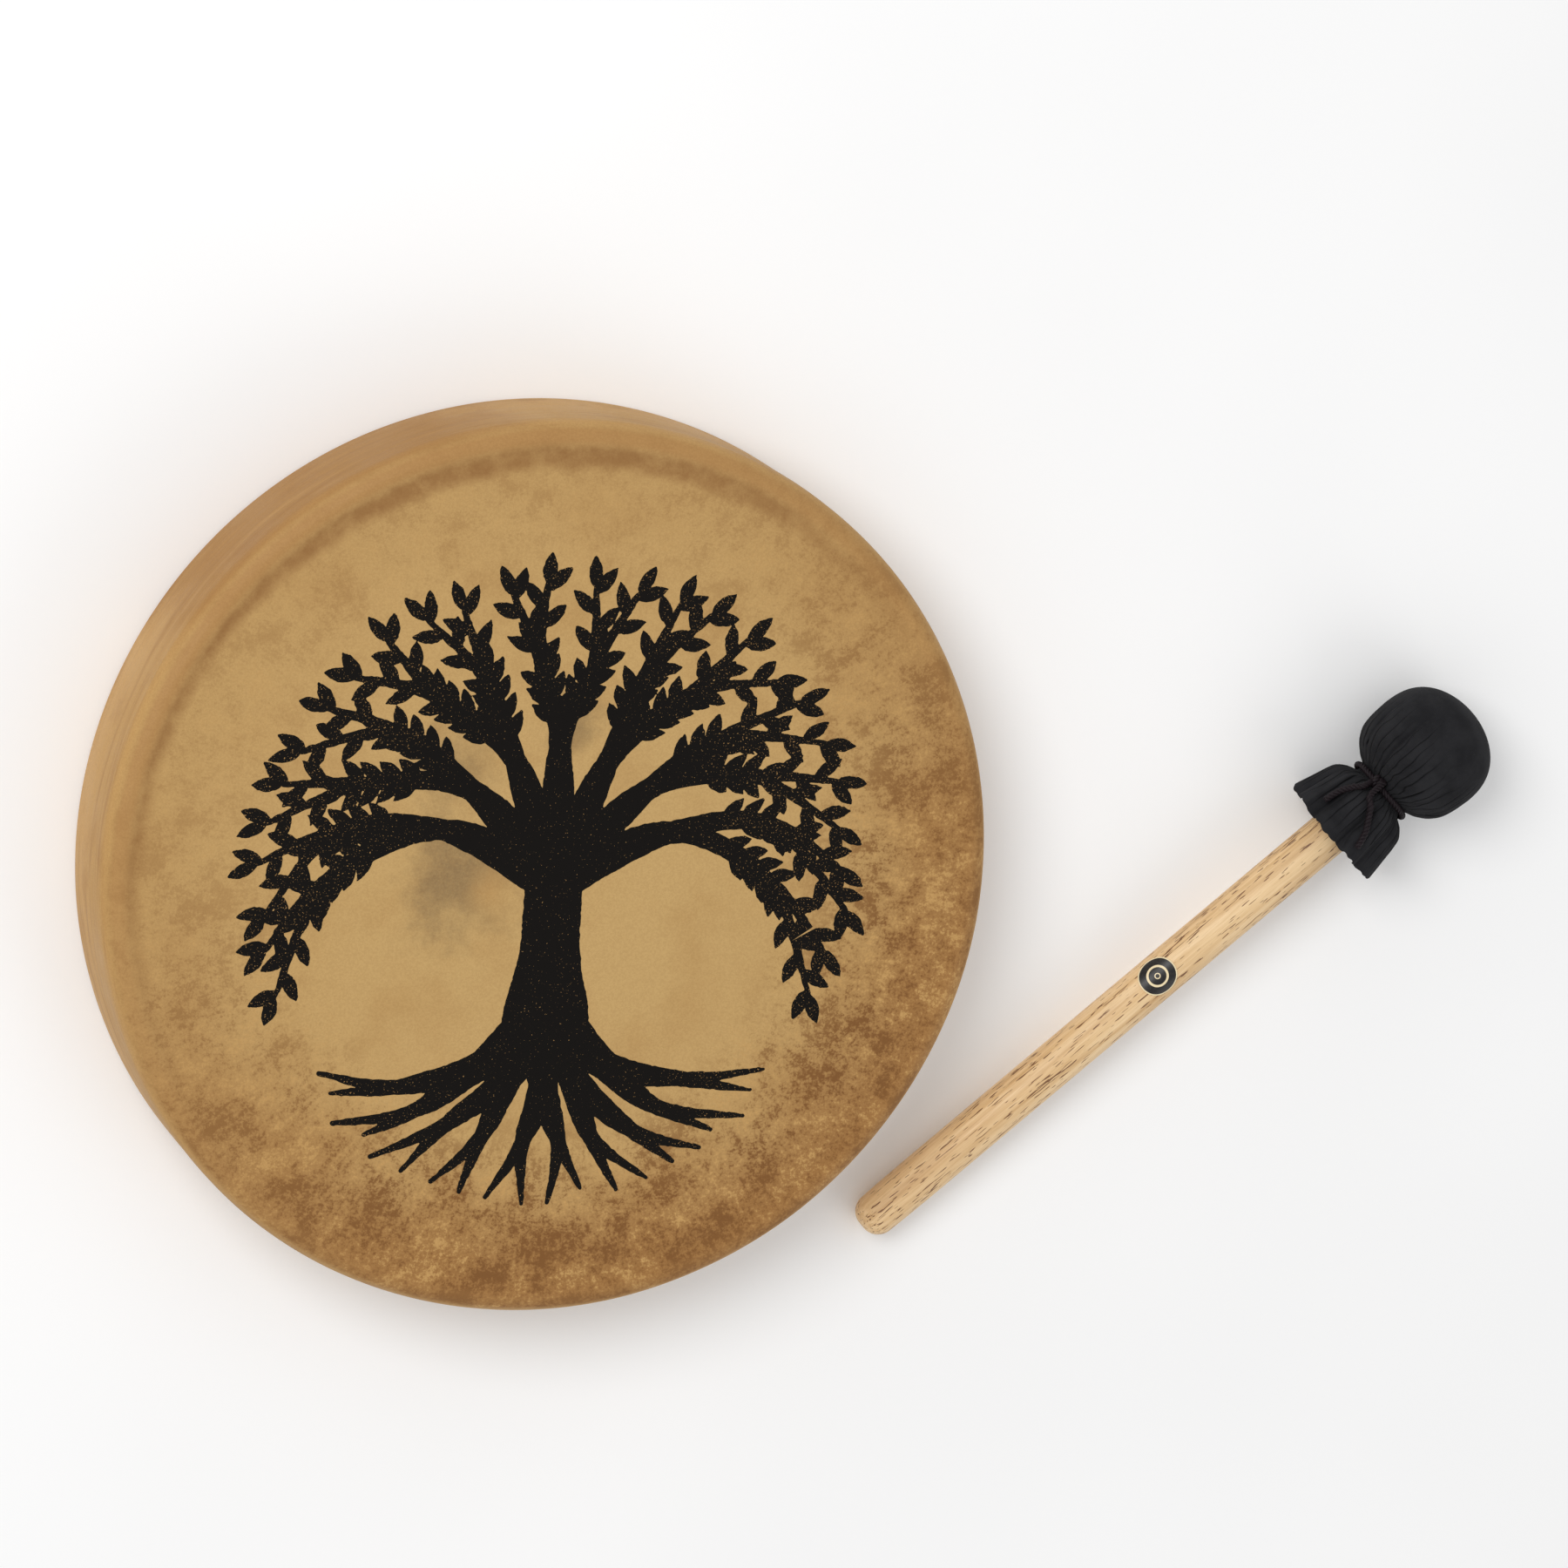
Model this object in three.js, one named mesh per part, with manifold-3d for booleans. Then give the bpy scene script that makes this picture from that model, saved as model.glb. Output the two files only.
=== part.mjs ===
// A laced frame drum and its soft beater, in millimetres, +Z up.
// The drum lies on its open back with its head up, and the beater lies beside it.
import * as THREE from 'three';
import { mergeVertices } from 'three/addons/utils/BufferGeometryUtils.js';
import Module from 'manifold-3d';

const wasm = await Module();
wasm.setup();

// ---- Drum: driving dimensions ----
const DRUM_DIAMETER = 381; // over the hide
const DRUM_DEPTH = 59;
const HIDE = 1.2; // thickness of the goat skin
const SHOULDER_RADIUS = 8.5; // hide's bend from the head to the side
const HEEL_RADIUS = 4.5; // hide's bend from the side to the back
const HOOP_WALL = 8;
const BEARING_WALL = 7.7; // inner ring that carries the head
const BEARING_DEPTH = 14;
const FLANGE_FLAT = 7; // width of the flat band that the drum rests on
const FLANGE_WIDTH = 29; // the hide's laced edge, inwards from that band
const FLANGE_RISE = 6; // how far the lacing draws that edge up
const GAP = 0.3; // between touching pieces
const RIM_SEGMENTS = 80;

// ---- Drum: lacing ----
const LACE_DIAMETER = 3.5;
const HOLE_INSET = 10; // from the hide's inner edge to the lace holes
const HOLE_COUNT = 16;
const GRIP_COUNT = 4;
const GRIP_NAMES = ['right', 'top', 'left', 'bottom'];
const WRAP_CORD = 2.5;
const WRAP_START = 27; // along a grip, from the drum's centre
const WRAP_END = 77;
const WRAP_FLOOR_CLEARANCE = 0.6;
const RING_RADIUS = 16; // centre line of the steel ring
const RING_WIRE_RADIUS = 2;
const TURN_CLEARANCE = 0.7; // between the lace and the ring
const STRAND_GAP = 0.2; // between two strands of a grip
const BINDING_LENGTH = 10; // the binding that holds the strands together under the wrap
const BINDING_BITE = 0.7; // how far it is drawn into each strand
const STRAND_TAIL = 1; // straight lace that shows past each end of a wrap
const STRAND_LAP = 2; // length that a bend of the lace runs into its straight strand
const BEND_STEP = 0.05; // a bend is this much slimmer, so it enters the strand's end cleanly

// ---- Beater: driving dimensions, measured along it from the stick's free end ----
const BEATER_LENGTH = 346;
const STICK_DIAMETER = 19.5;
const STICK_ROUND = 8; // rounding of the stick's free end
const HEAD_DIAMETER = 55.5;
const HEAD_REACH = 27; // from the head's widest place to its tip
const NECK_REACH = 53; // from the tie to the tip
const NECK_DIAMETER = STICK_DIAMETER + 9; // the gathered cloth under the tie
const SKIRT_REACH = 80; // from the hem to the tip
const SKIRT_DIAMETER = 49;
const CLOTH = 1.2;
const PADDING_OVER_STICK = 14; // padding beyond the stick's end
const PADDING_TAIL = 8; // padding that runs past the tie
const TIE_DIAMETER = 3;
const TAIL_LENGTH = 23; // each end of the tie, over the skirt
const BADGE_DIAMETER = 17.5;
const BADGE_THICKNESS = 0.3;
const BADGE_GAP = 0.15;
const BADGE_DISTANCE = 167;
const BADGE_TURN = 26; // degrees round the stick, from the top towards the drum
const BEATER_SEGMENTS = 24;

// ---- Where the beater lies ----
const BEATER_HEADING = 42.3; // degrees from +X
const BEATER_CLEARANCE = 44; // from the drum's side to the beater's middle line
const BEATER_START = 6.4; // along the heading, from the drum's centre to the stick's end

// ---- Sizes that follow ----
const DRUM_RADIUS = DRUM_DIAMETER / 2;
const HIDE_INSIDE = DRUM_RADIUS - HIDE;
const HOOP_OUTSIDE = HIDE_INSIDE - GAP;
const HOOP_INSIDE = HOOP_OUTSIDE - HOOP_WALL;
const HOOP_TOP = DRUM_DEPTH - HIDE - GAP;
const HOOP_FOOT = HIDE + GAP;
const SHOULDER_START = DRUM_RADIUS - SHOULDER_RADIUS;
const HEEL_START = DRUM_RADIUS - HEEL_RADIUS;
const FLANGE_BEND = HEEL_START - FLANGE_FLAT;
const FLANGE_EDGE = FLANGE_BEND - FLANGE_WIDTH;
const LACE_RADIUS = LACE_DIAMETER / 2;
const LACE_SIDES = 8;
const LACE_CORNER = LACE_RADIUS / Math.cos(Math.PI / LACE_SIDES);
const STRAND_OFFSET = LACE_CORNER + STRAND_GAP / 2;
const BUNDLE_RADIUS = STRAND_OFFSET * Math.SQRT2 + LACE_CORNER;
const WRAP_BORE = BUNDLE_RADIUS + GAP;
const WRAP_OUTSIDE = WRAP_BORE + WRAP_CORD;
const GRIP_HEIGHT = WRAP_OUTSIDE + WRAP_FLOOR_CLEARANCE;
const STRAND_HEIGHTS = [GRIP_HEIGHT - STRAND_OFFSET, GRIP_HEIGHT + STRAND_OFFSET];
const STICK_RADIUS = STICK_DIAMETER / 2;
const HEAD_RADIUS = HEAD_DIAMETER / 2;
const NECK_RADIUS = NECK_DIAMETER / 2;
const TIE_RADIUS = TIE_DIAMETER / 2;

// ---- Finishes ----
const finish = (color, roughness, metalness = 0) =>
  new THREE.MeshStandardMaterial({ color, roughness, metalness });
const HIDE_FINISH = finish('#b78d55', 0.62);
const BENTWOOD = finish('#a9794a', 0.6);
const LACE_FINISH = finish('#d9c9a6', 0.9);
const STEEL = finish('#9fa1a3', 0.3, 1);
const DOWEL = finish('#dcb880', 0.55);
const FELT = finish('#c9c2b4', 0.95);
const BLACK_CLOTH = finish('#17181a', 0.85);
const BLACK_CORD = finish('#120f11', 0.8);
const VINYL = finish('#0b0b0d', 0.35);

// ---- Geometry helpers ----
const radians = (degrees) => (degrees * Math.PI) / 180;

/** Points of an arc in the (radius, height) half plane, from one angle to another, in degrees. */
function arc(centreR, centreZ, radius, from, to, steps) {
  return Array.from({ length: steps + 1 }, (_, i) => {
    const angle = radians(from + ((to - from) * i) / steps);
    return new THREE.Vector2(centreR + radius * Math.cos(angle), centreZ + radius * Math.sin(angle));
  });
}

const at = (r, z) => new THREE.Vector2(r, z);

/** A body turned about +Z from a closed outline, listed anticlockwise in (radius, height). */
function turned(outline, segments) {
  const onAxis = outline[0].x === 0;
  const profile = onAxis ? outline : [...outline, outline[0].clone()];
  const geometry = new THREE.LatheGeometry(profile, segments);
  geometry.rotateX(Math.PI / 2);
  return merged(geometry);
}

/** The same geometry with shared corners and positions only. */
function merged(geometry) {
  geometry.deleteAttribute('normal');
  geometry.deleteAttribute('uv');
  return withoutSlivers(mergeVertices(geometry, 1e-5));
}

/** Drops the triangles that lost their area where a profile meets the axis. */
function withoutSlivers(geometry) {
  const index = geometry.index.array;
  const kept = [];
  for (let i = 0; i < index.length; i += 3) {
    const [a, b, c] = [index[i], index[i + 1], index[i + 2]];
    if (a !== b && b !== c && c !== a) kept.push(a, b, c);
  }
  geometry.setIndex(kept);
  return geometry;
}

/** A curve whose steps follow its points, so a straight run costs no more than a bend. */
class RopePath extends THREE.CatmullRomCurve3 {
  getUtoTmapping(u) {
    return u;
  }
}

/** A round cord along the given points. */
function rope(points, radius, sides, stepsPerSpan = 1) {
  const section = new THREE.Shape(
    Array.from({ length: sides }, (_, i) => {
      const angle = (2 * Math.PI * (i + 0.5)) / sides;
      return new THREE.Vector2(radius * Math.cos(angle), radius * Math.sin(angle));
    }),
  );
  const path = new RopePath(points, false, 'centripetal');
  const steps = (points.length - 1) * stepsPerSpan;
  return merged(new THREE.ExtrudeGeometry(section, { steps, extrudePath: path, bevelEnabled: false }));
}

function toSolid(geometry) {
  return new wasm.Manifold(
    new wasm.Mesh({
      numProp: 3,
      vertProperties: new Float32Array(geometry.attributes.position.array),
      triVerts: new Uint32Array(geometry.index.array),
    }),
  );
}

function toGeometry(solid) {
  const { vertProperties, triVerts } = solid.getMesh();
  const geometry = new THREE.BufferGeometry();
  geometry.setAttribute('position', new THREE.BufferAttribute(new Float32Array(vertProperties), 3));
  geometry.setIndex(new THREE.BufferAttribute(new Uint32Array(triVerts), 1));
  return geometry;
}

const joined = (geometries) => toGeometry(geometries.map(toSolid).reduce((all, next) => all.add(next)));
const cut = (geometry, tools) =>
  toGeometry(tools.map(toSolid).reduce((rest, tool) => rest.subtract(tool), toSolid(geometry)));
const common = (a, b) => toGeometry(toSolid(a).intersect(toSolid(b)));

function piece(name, geometry, material) {
  geometry.computeVertexNormals();
  const mesh = new THREE.Mesh(geometry, material);
  mesh.name = name;
  return mesh;
}

// ---- Drum: wood ----

/** The bent hoop, rounded under the hide's shoulder and heel. */
function frameHoop() {
  const shoulder = SHOULDER_RADIUS - HIDE - GAP;
  const heel = HEEL_RADIUS - HIDE - GAP;
  return turned(
    [
      at(HOOP_INSIDE, HOOP_FOOT),
      ...arc(HOOP_OUTSIDE - heel, HOOP_FOOT + heel, heel, -90, 0, 1),
      ...arc(HOOP_OUTSIDE - shoulder, HOOP_TOP - shoulder, shoulder, 0, 90, 3),
      at(HOOP_INSIDE, HOOP_TOP),
    ],
    RIM_SEGMENTS,
  );
}

/** The inner ring at the head, with a bevel on its lower edge. */
function bearingRing() {
  const outside = HOOP_INSIDE - GAP;
  const inside = outside - BEARING_WALL;
  const foot = HOOP_TOP - BEARING_DEPTH;
  const bevel = BEARING_WALL / 3;
  return turned(
    [at(inside + bevel, foot), at(outside, foot), at(outside, HOOP_TOP), at(inside, HOOP_TOP), at(inside, foot + bevel)],
    RIM_SEGMENTS,
  );
}

// ---- Drum: hide, one skin in three stretches ----

function headSkin() {
  const edge = SHOULDER_START;
  return turned([at(0, DRUM_DEPTH - HIDE), at(edge, DRUM_DEPTH - HIDE), at(edge, DRUM_DEPTH), at(0, DRUM_DEPTH)], RIM_SEGMENTS);
}

function skinSide() {
  const shoulderZ = DRUM_DEPTH - SHOULDER_RADIUS;
  const topR = SHOULDER_START + GAP;
  return turned(
    [
      ...arc(HEEL_START, HEEL_RADIUS, HEEL_RADIUS, -40, 0, 1),
      ...arc(SHOULDER_START, shoulderZ, SHOULDER_RADIUS, 0, 86, 3),
      at(topR, DRUM_DEPTH),
      at(topR, DRUM_DEPTH - HIDE),
      ...arc(SHOULDER_START, shoulderZ, SHOULDER_RADIUS - HIDE, 86, 0, 3),
      ...arc(HEEL_START, HEEL_RADIUS, HEEL_RADIUS - HIDE, 0, -40, 1),
    ],
    RIM_SEGMENTS,
  );
}

/** Height of the laced edge's underside at a radius. */
const flangeUnderside = (r) => (FLANGE_RISE * Math.max(0, FLANGE_BEND - r)) / FLANGE_WIDTH;

function skinBack(laceCutters) {
  const solid = turned(
    [
      at(FLANGE_EDGE, FLANGE_RISE),
      at(FLANGE_BEND, 0),
      ...arc(HEEL_START, HEEL_RADIUS, HEEL_RADIUS, -90, -45, 1),
      ...arc(HEEL_START, HEEL_RADIUS, HEEL_RADIUS - HIDE, -45, -90, 1),
      at(FLANGE_BEND, HIDE),
      at(FLANGE_EDGE, FLANGE_RISE + HIDE),
    ],
    RIM_SEGMENTS,
  );
  return cut(solid, laceCutters);
}

// ---- Drum: lacing, drawn for the grip along +X and turned to the others ----

const polar = (r, angle, z) => new THREE.Vector3(r * Math.cos(angle), r * Math.sin(angle), z);
const HOLE_STEP = (2 * Math.PI) / HOLE_COUNT;
const HOLE_RADIUS = FLANGE_EDGE + HOLE_INSET;

/** The lace from a grip's mouth, under the hide's edge and up through one hole. */
function throughHole(side, order, strandHeight) {
  const hole = polar(HOLE_RADIUS, side * (order + 0.5) * HOLE_STEP, 0);
  const mouth = new THREE.Vector3(WRAP_END + 5, side * (STRAND_OFFSET + order * 1.2), strandHeight);
  const run = hole.clone().sub(mouth).setZ(0).normalize();
  const on = (distance, lift = 0) => {
    const point = hole.clone().addScaledVector(run, distance);
    const underside = flangeUnderside(Math.hypot(point.x, point.y));
    const clear = LACE_CORNER + GAP;
    const height = { '-1': underside - clear, 0: underside + HIDE / 2, 1: underside + HIDE + clear };
    return point.setZ(height[Math.sign(distance)] + lift);
  };
  const above = on(5).z;
  return {
    approach: [mouth, mouth.clone().addScaledVector(run, 8).setZ(strandHeight - 0.8), on(-22, -2)],
    passage: [on(-6.5), on(0), on(5)],
    away: polar(HOLE_RADIUS + 6, side * (order ? 1.3 : 0.7) * HOLE_STEP, above),
  };
}

/** One loop of the lace on one side of a grip: from the low strand, through two holes, to the high one. */
function holeLoop(side) {
  const y = side * STRAND_OFFSET;
  const [low, high] = STRAND_HEIGHTS;
  const inGrip = (z) => [-STRAND_LAP, STRAND_TAIL + 1.5].map((x) => new THREE.Vector3(WRAP_END + x, y, z));
  const outer = throughHole(side, 1, low);
  const inner = throughHole(side, 0, high);
  const stitch = polar(HOLE_RADIUS + 6, side * HOLE_STEP, outer.away.z);
  const wayOut = [...inGrip(low), ...outer.approach, ...outer.passage, outer.away];
  const wayBack = [...inGrip(high), ...inner.approach, ...inner.passage, inner.away].reverse();
  const holes = [outer, inner].map((h) => [h.approach.at(-1), ...h.passage, h.away]);
  return { path: [...wayOut, stitch, ...wayBack], holes };
}

/** The lace's turn round the steel ring, back into the grip. */
function ringTurn(side) {
  const y = side * STRAND_OFFSET;
  const [low, high] = STRAND_HEIGHTS;
  const reach = RING_WIRE_RADIUS + LACE_CORNER + TURN_CLEARANCE;
  const turn = [-80, -120, -160, -200, -240, -280].map((angle) => {
    const a = radians(angle);
    return new THREE.Vector3(RING_RADIUS + reach * Math.cos(a), y, GRIP_HEIGHT + reach * Math.sin(a));
  });
  const inGrip = (z) => [STRAND_LAP, -STRAND_TAIL].map((x) => new THREE.Vector3(WRAP_START + x, y, z));
  return [...inGrip(low), ...turn, ...inGrip(high).reverse()];
}

/** A straight eight-sided bar along the middle of a grip, at one place across it. */
function gripBar(radius, length, y, z) {
  const bar = new THREE.CylinderGeometry(radius, radius, length, LACE_SIDES);
  bar.rotateY(Math.PI / LACE_SIDES);
  bar.rotateZ(Math.PI / 2);
  bar.translate((WRAP_START + WRAP_END) / 2, y, z);
  return merged(bar);
}

const SIDES_OF_GRIP = [-1, 1];

/** The four strands side by side in a grip, and the hidden binding between them. */
function bundleStrands() {
  const length = WRAP_END - WRAP_START + 2 * STRAND_TAIL;
  const binding = STRAND_OFFSET * Math.SQRT2 - LACE_CORNER + BINDING_BITE;
  return [
    gripBar(binding, BINDING_LENGTH, 0, GRIP_HEIGHT),
    ...SIDES_OF_GRIP.flatMap((side) =>
      STRAND_HEIGHTS.map((z) => gripBar(LACE_CORNER, length, side * STRAND_OFFSET, z)),
    ),
  ];
}

const holeLoops = SIDES_OF_GRIP.map(holeLoop);
const bend = (points) => rope(points, LACE_CORNER - BEND_STEP, LACE_SIDES);
const laceGeometry = joined([
  ...bundleStrands(),
  ...holeLoops.map((loop) => bend(loop.path)),
  ...SIDES_OF_GRIP.map((side) => bend(ringTurn(side))),
]);
const holeCutters = holeLoops.flatMap((loop) =>
  loop.holes.map((passage) => rope(passage, LACE_CORNER + GAP, LACE_SIDES)),
);

function gripWrap() {
  const bore = WRAP_BORE / Math.cos(Math.PI / 16);
  const outline = [at(bore, WRAP_START), at(WRAP_OUTSIDE, WRAP_START), at(WRAP_OUTSIDE, WRAP_END), at(bore, WRAP_END)];
  const geometry = turned(outline, 16);
  geometry.rotateY(Math.PI / 2);
  geometry.translate(0, 0, GRIP_HEIGHT);
  return geometry;
}

const steelRing = () =>
  turned(arc(RING_RADIUS, GRIP_HEIGHT, RING_WIRE_RADIUS, 0, 360, 8).slice(0, -1), 32);

/** The geometry turned to each grip in order. */
const aroundGrips = (geometry) =>
  GRIP_NAMES.map((_, i) => geometry.clone().rotateZ((2 * Math.PI * i) / GRIP_COUNT));

function buildDrum() {
  const drum = new THREE.Group();
  const cutters = holeCutters.flatMap(aroundGrips);
  drum.add(
    piece('frame_hoop', frameHoop(), BENTWOOD),
    piece('bearing_ring', bearingRing(), BENTWOOD),
    piece('skin_head', headSkin(), HIDE_FINISH),
    piece('skin_side', skinSide(), HIDE_FINISH),
    piece('skin_back', skinBack(cutters), HIDE_FINISH),
    piece('steel_ring', steelRing(), STEEL),
  );
  const laces = aroundGrips(laceGeometry);
  const wraps = aroundGrips(gripWrap());
  GRIP_NAMES.forEach((name, i) => {
    drum.add(piece(`lace_${name}`, laces[i], LACE_FINISH), piece(`grip_wrap_${name}`, wraps[i], LACE_FINISH));
  });
  return drum;
}

// ---- Beater: turned about +Z from the stick's free end, then laid down ----

const TIP = BEATER_LENGTH;
const NECK = TIP - NECK_REACH;
const HEM = TIP - SKIRT_REACH;

/** A smooth outline of the cloth: hem, skirt, tie, head, drawn in by an inset. */
function clothOutline(inset) {
  const shape = new THREE.SplineCurve([
    at(SKIRT_DIAMETER / 2 - inset, HEM),
    at(SKIRT_DIAMETER / 2 - 1 - inset, HEM + 12),
    at(NECK_RADIUS + 3.6 - inset, NECK - 6),
    at(NECK_RADIUS - inset, NECK),
    at(NECK_RADIUS + 5.2 - inset, NECK + 5),
    at(HEAD_RADIUS - 2.8 - inset, TIP - HEAD_REACH - 12),
  ]);
  const ball = new THREE.EllipseCurve(0, TIP - HEAD_REACH, HEAD_RADIUS - inset, HEAD_REACH - inset, -0.12, Math.PI / 2);
  const dome = ball.getPoints(6);
  dome[dome.length - 1].setX(0);
  return [...shape.getPoints(9), ...dome];
}

function beaterStick() {
  const end = TIP - PADDING_OVER_STICK - CLOTH - GAP;
  const bevel = 1;
  return turned(
    [
      at(0, 0),
      ...arc(STICK_RADIUS - STICK_ROUND, STICK_ROUND, STICK_ROUND, -90, 0, 5),
      at(STICK_RADIUS, end - bevel),
      at(STICK_RADIUS - bevel, end),
      at(0, end),
    ],
    BEATER_SEGMENTS,
  );
}

/** The stuffing: it follows the cloth from just past the tie to the tip, round the stick. */
function beaterPadding() {
  const foot = NECK - PADDING_TAIL;
  const stickEnd = TIP - PADDING_OVER_STICK - CLOTH;
  const bore = STICK_RADIUS + GAP;
  const wall = NECK_RADIUS - CLOTH - GAP;
  const outside = clothOutline(CLOTH + GAP).filter((p) => p.y > NECK + 1);
  return turned(
    [at(0, stickEnd), at(bore, stickEnd), at(bore, foot), at(wall - 1.5, foot), at(wall, foot + 3), at(wall, NECK), ...outside],
    BEATER_SEGMENTS,
  );
}

function beaterCover() {
  const outside = clothOutline(0);
  const inside = clothOutline(CLOTH).reverse();
  return turned([...inside, ...outside], BEATER_SEGMENTS);
}

/** The tie round the neck, its knot and its two ends, which lie on the skirt. */
function beaterTie() {
  const wrapRadius = NECK_RADIUS + TIE_RADIUS + GAP;
  const loop = turned(arc(wrapRadius, NECK, TIE_RADIUS, 0, 360, 8).slice(0, -1), BEATER_SEGMENTS);
  const knotAngle = radians(90 - BADGE_TURN);
  const around = (angle, r, z) => new THREE.Vector3(r * Math.cos(angle), r * Math.sin(angle), z);
  const knot = new THREE.IcosahedronGeometry(TIE_DIAMETER, 1);
  knot.translate(...around(knotAngle, wrapRadius + 1, NECK).toArray());
  const tails = [0.62, -0.28].map((spread) => {
    const points = Array.from({ length: 7 }, (_, i) => {
      const share = i / 6;
      const z = NECK - 1 - share * TAIL_LENGTH;
      const skirt = NECK_RADIUS + (SKIRT_DIAMETER / 2 - NECK_RADIUS) * Math.min(1, share * 1.25);
      return around(knotAngle + spread * share, skirt + TIE_RADIUS + GAP + 0.9, z);
    });
    return rope(points, TIE_RADIUS, LACE_SIDES);
  });
  const clothWithGap = turned([at(0, HEM), ...clothOutline(-GAP)], BEATER_SEGMENTS);
  return cut(joined([loop, merged(knot), ...tails]), [clothWithGap]);
}

/** The round badge, bent round the stick. */
function beaterBadge() {
  const inside = STICK_RADIUS + BADGE_GAP;
  const outside = inside + BADGE_THICKNESS;
  const half = BADGE_DIAMETER / 2;
  const foot = BADGE_DISTANCE - BADGE_DIAMETER;
  const head = BADGE_DISTANCE + BADGE_DIAMETER;
  const shell = turned([at(inside, foot), at(outside, foot), at(outside, head), at(inside, head)], BEATER_SEGMENTS);
  const outline = Array.from({ length: 24 }, (_, i) => {
    const angle = (2 * Math.PI * i) / 24;
    return new THREE.Vector2(outside * Math.sin((half * Math.sin(angle)) / outside), half * Math.cos(angle));
  });
  const punch = new THREE.ExtrudeGeometry(new THREE.Shape(outline), { depth: 2 * STICK_DIAMETER, bevelEnabled: false });
  punch.rotateX(Math.PI / 2);
  punch.rotateZ(Math.PI - radians(BADGE_TURN));
  punch.translate(0, 0, BADGE_DISTANCE);
  return common(shell, merged(punch));
}

/** The lowest point of a turned outline that leans back by a tilt, below its own origin. */
const lowest = (outline, tilt) =>
  Math.min(...outline.map((p) => p.y * Math.sin(tilt) - p.x * Math.cos(tilt)));

/** The tilt at which the stick's end and the head touch the same surface. */
function restingTilt() {
  const stickEnd = arc(STICK_RADIUS - STICK_ROUND, STICK_ROUND, STICK_ROUND, -90, 0, 5);
  const head = clothOutline(0);
  let [low, high] = [0, Math.PI / 6];
  for (let i = 0; i < 50; i += 1) {
    const tilt = (low + high) / 2;
    if (lowest(head, tilt) > lowest(stickEnd, tilt)) high = tilt;
    else low = tilt;
  }
  return { tilt: low, height: -lowest(stickEnd, low) };
}

function buildBeater() {
  const upright = new THREE.Group();
  upright.add(
    piece('beater_stick', beaterStick(), DOWEL),
    piece('beater_padding', beaterPadding(), FELT),
    piece('beater_cover', beaterCover(), BLACK_CLOTH),
    piece('beater_tie', beaterTie(), BLACK_CORD),
    piece('beater_badge', beaterBadge(), VINYL),
  );
  // Upright, the beater stands on +Z. Laid down, its +Y is up and its +X faces the drum.
  const { tilt, height } = restingTilt();
  const laid = new THREE.Group();
  laid.add(upright);
  upright.rotation.set(Math.PI / 2 - tilt, 0, 0);
  laid.rotation.z = radians(BEATER_HEADING) + Math.PI / 2;
  const heading = new THREE.Vector2(1, 0).rotateAround(new THREE.Vector2(), radians(BEATER_HEADING));
  const outward = new THREE.Vector2(heading.y, -heading.x);
  const end = outward.multiplyScalar(DRUM_RADIUS + BEATER_CLEARANCE).addScaledVector(heading, BEATER_START);
  laid.position.set(end.x, end.y, height);
  return laid;
}

/** The set, with its origin under the middle of its box. */
function buildSet() {
  const set = new THREE.Group();
  set.add(buildDrum(), buildBeater());
  set.updateMatrixWorld(true);
  const box = new THREE.Box3().setFromObject(set, true);
  const centre = box.getCenter(new THREE.Vector3());
  set.position.set(-centre.x, -centre.y, -box.min.z);
  return set;
}

export default buildSet();
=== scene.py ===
"""A laced frame drum with a printed hide, and its soft beater, dressed for a close look.

Sizes inside the classes are in millimetres. Every mesh is made in metres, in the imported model's frame.
"""

import logging
import math
import random
from collections.abc import Sequence
from dataclasses import dataclass, field
from enum import Enum

import bmesh
import bpy
import numpy as np
from mathutils import Matrix, Vector, noise
from mathutils.geometry import delaunay_2d_cdt


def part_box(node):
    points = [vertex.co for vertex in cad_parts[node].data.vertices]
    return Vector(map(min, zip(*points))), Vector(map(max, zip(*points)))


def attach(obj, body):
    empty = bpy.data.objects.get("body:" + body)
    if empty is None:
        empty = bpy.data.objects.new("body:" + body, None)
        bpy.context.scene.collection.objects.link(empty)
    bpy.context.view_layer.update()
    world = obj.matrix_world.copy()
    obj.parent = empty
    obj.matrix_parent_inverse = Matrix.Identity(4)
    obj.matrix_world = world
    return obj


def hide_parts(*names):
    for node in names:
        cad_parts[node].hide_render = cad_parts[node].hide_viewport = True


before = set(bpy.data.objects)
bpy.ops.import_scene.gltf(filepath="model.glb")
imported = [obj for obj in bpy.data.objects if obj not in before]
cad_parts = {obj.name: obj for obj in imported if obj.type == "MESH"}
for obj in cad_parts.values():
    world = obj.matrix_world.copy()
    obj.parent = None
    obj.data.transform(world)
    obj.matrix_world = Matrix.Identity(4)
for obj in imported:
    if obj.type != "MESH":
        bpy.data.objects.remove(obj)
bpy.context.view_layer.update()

logging.basicConfig(level=logging.INFO, format="%(message)s")
log = logging.getLogger("drum")

MM = 0.001
Link = bpy.types.NodeSocket
Row = tuple[float, float, float]  # a point of a printed stroke, and its width there


class Slot(Enum):
    """The record's material slot names."""

    HIDE = "goat_skin"
    STEEL = "ring_steel"
    LACE = "lace_cord"
    DOWEL = "dowel_wood"
    FELT = "padding_felt"
    CLOTH = "black_cloth"
    CORD = "black_cord"
    BADGE = "badge_vinyl"


class Body(Enum):
    """The two bodies that pieces ride on."""

    DRUM = "drum"
    BEATER = "beater"


# ---- Colour and shader nodes ----


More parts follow.
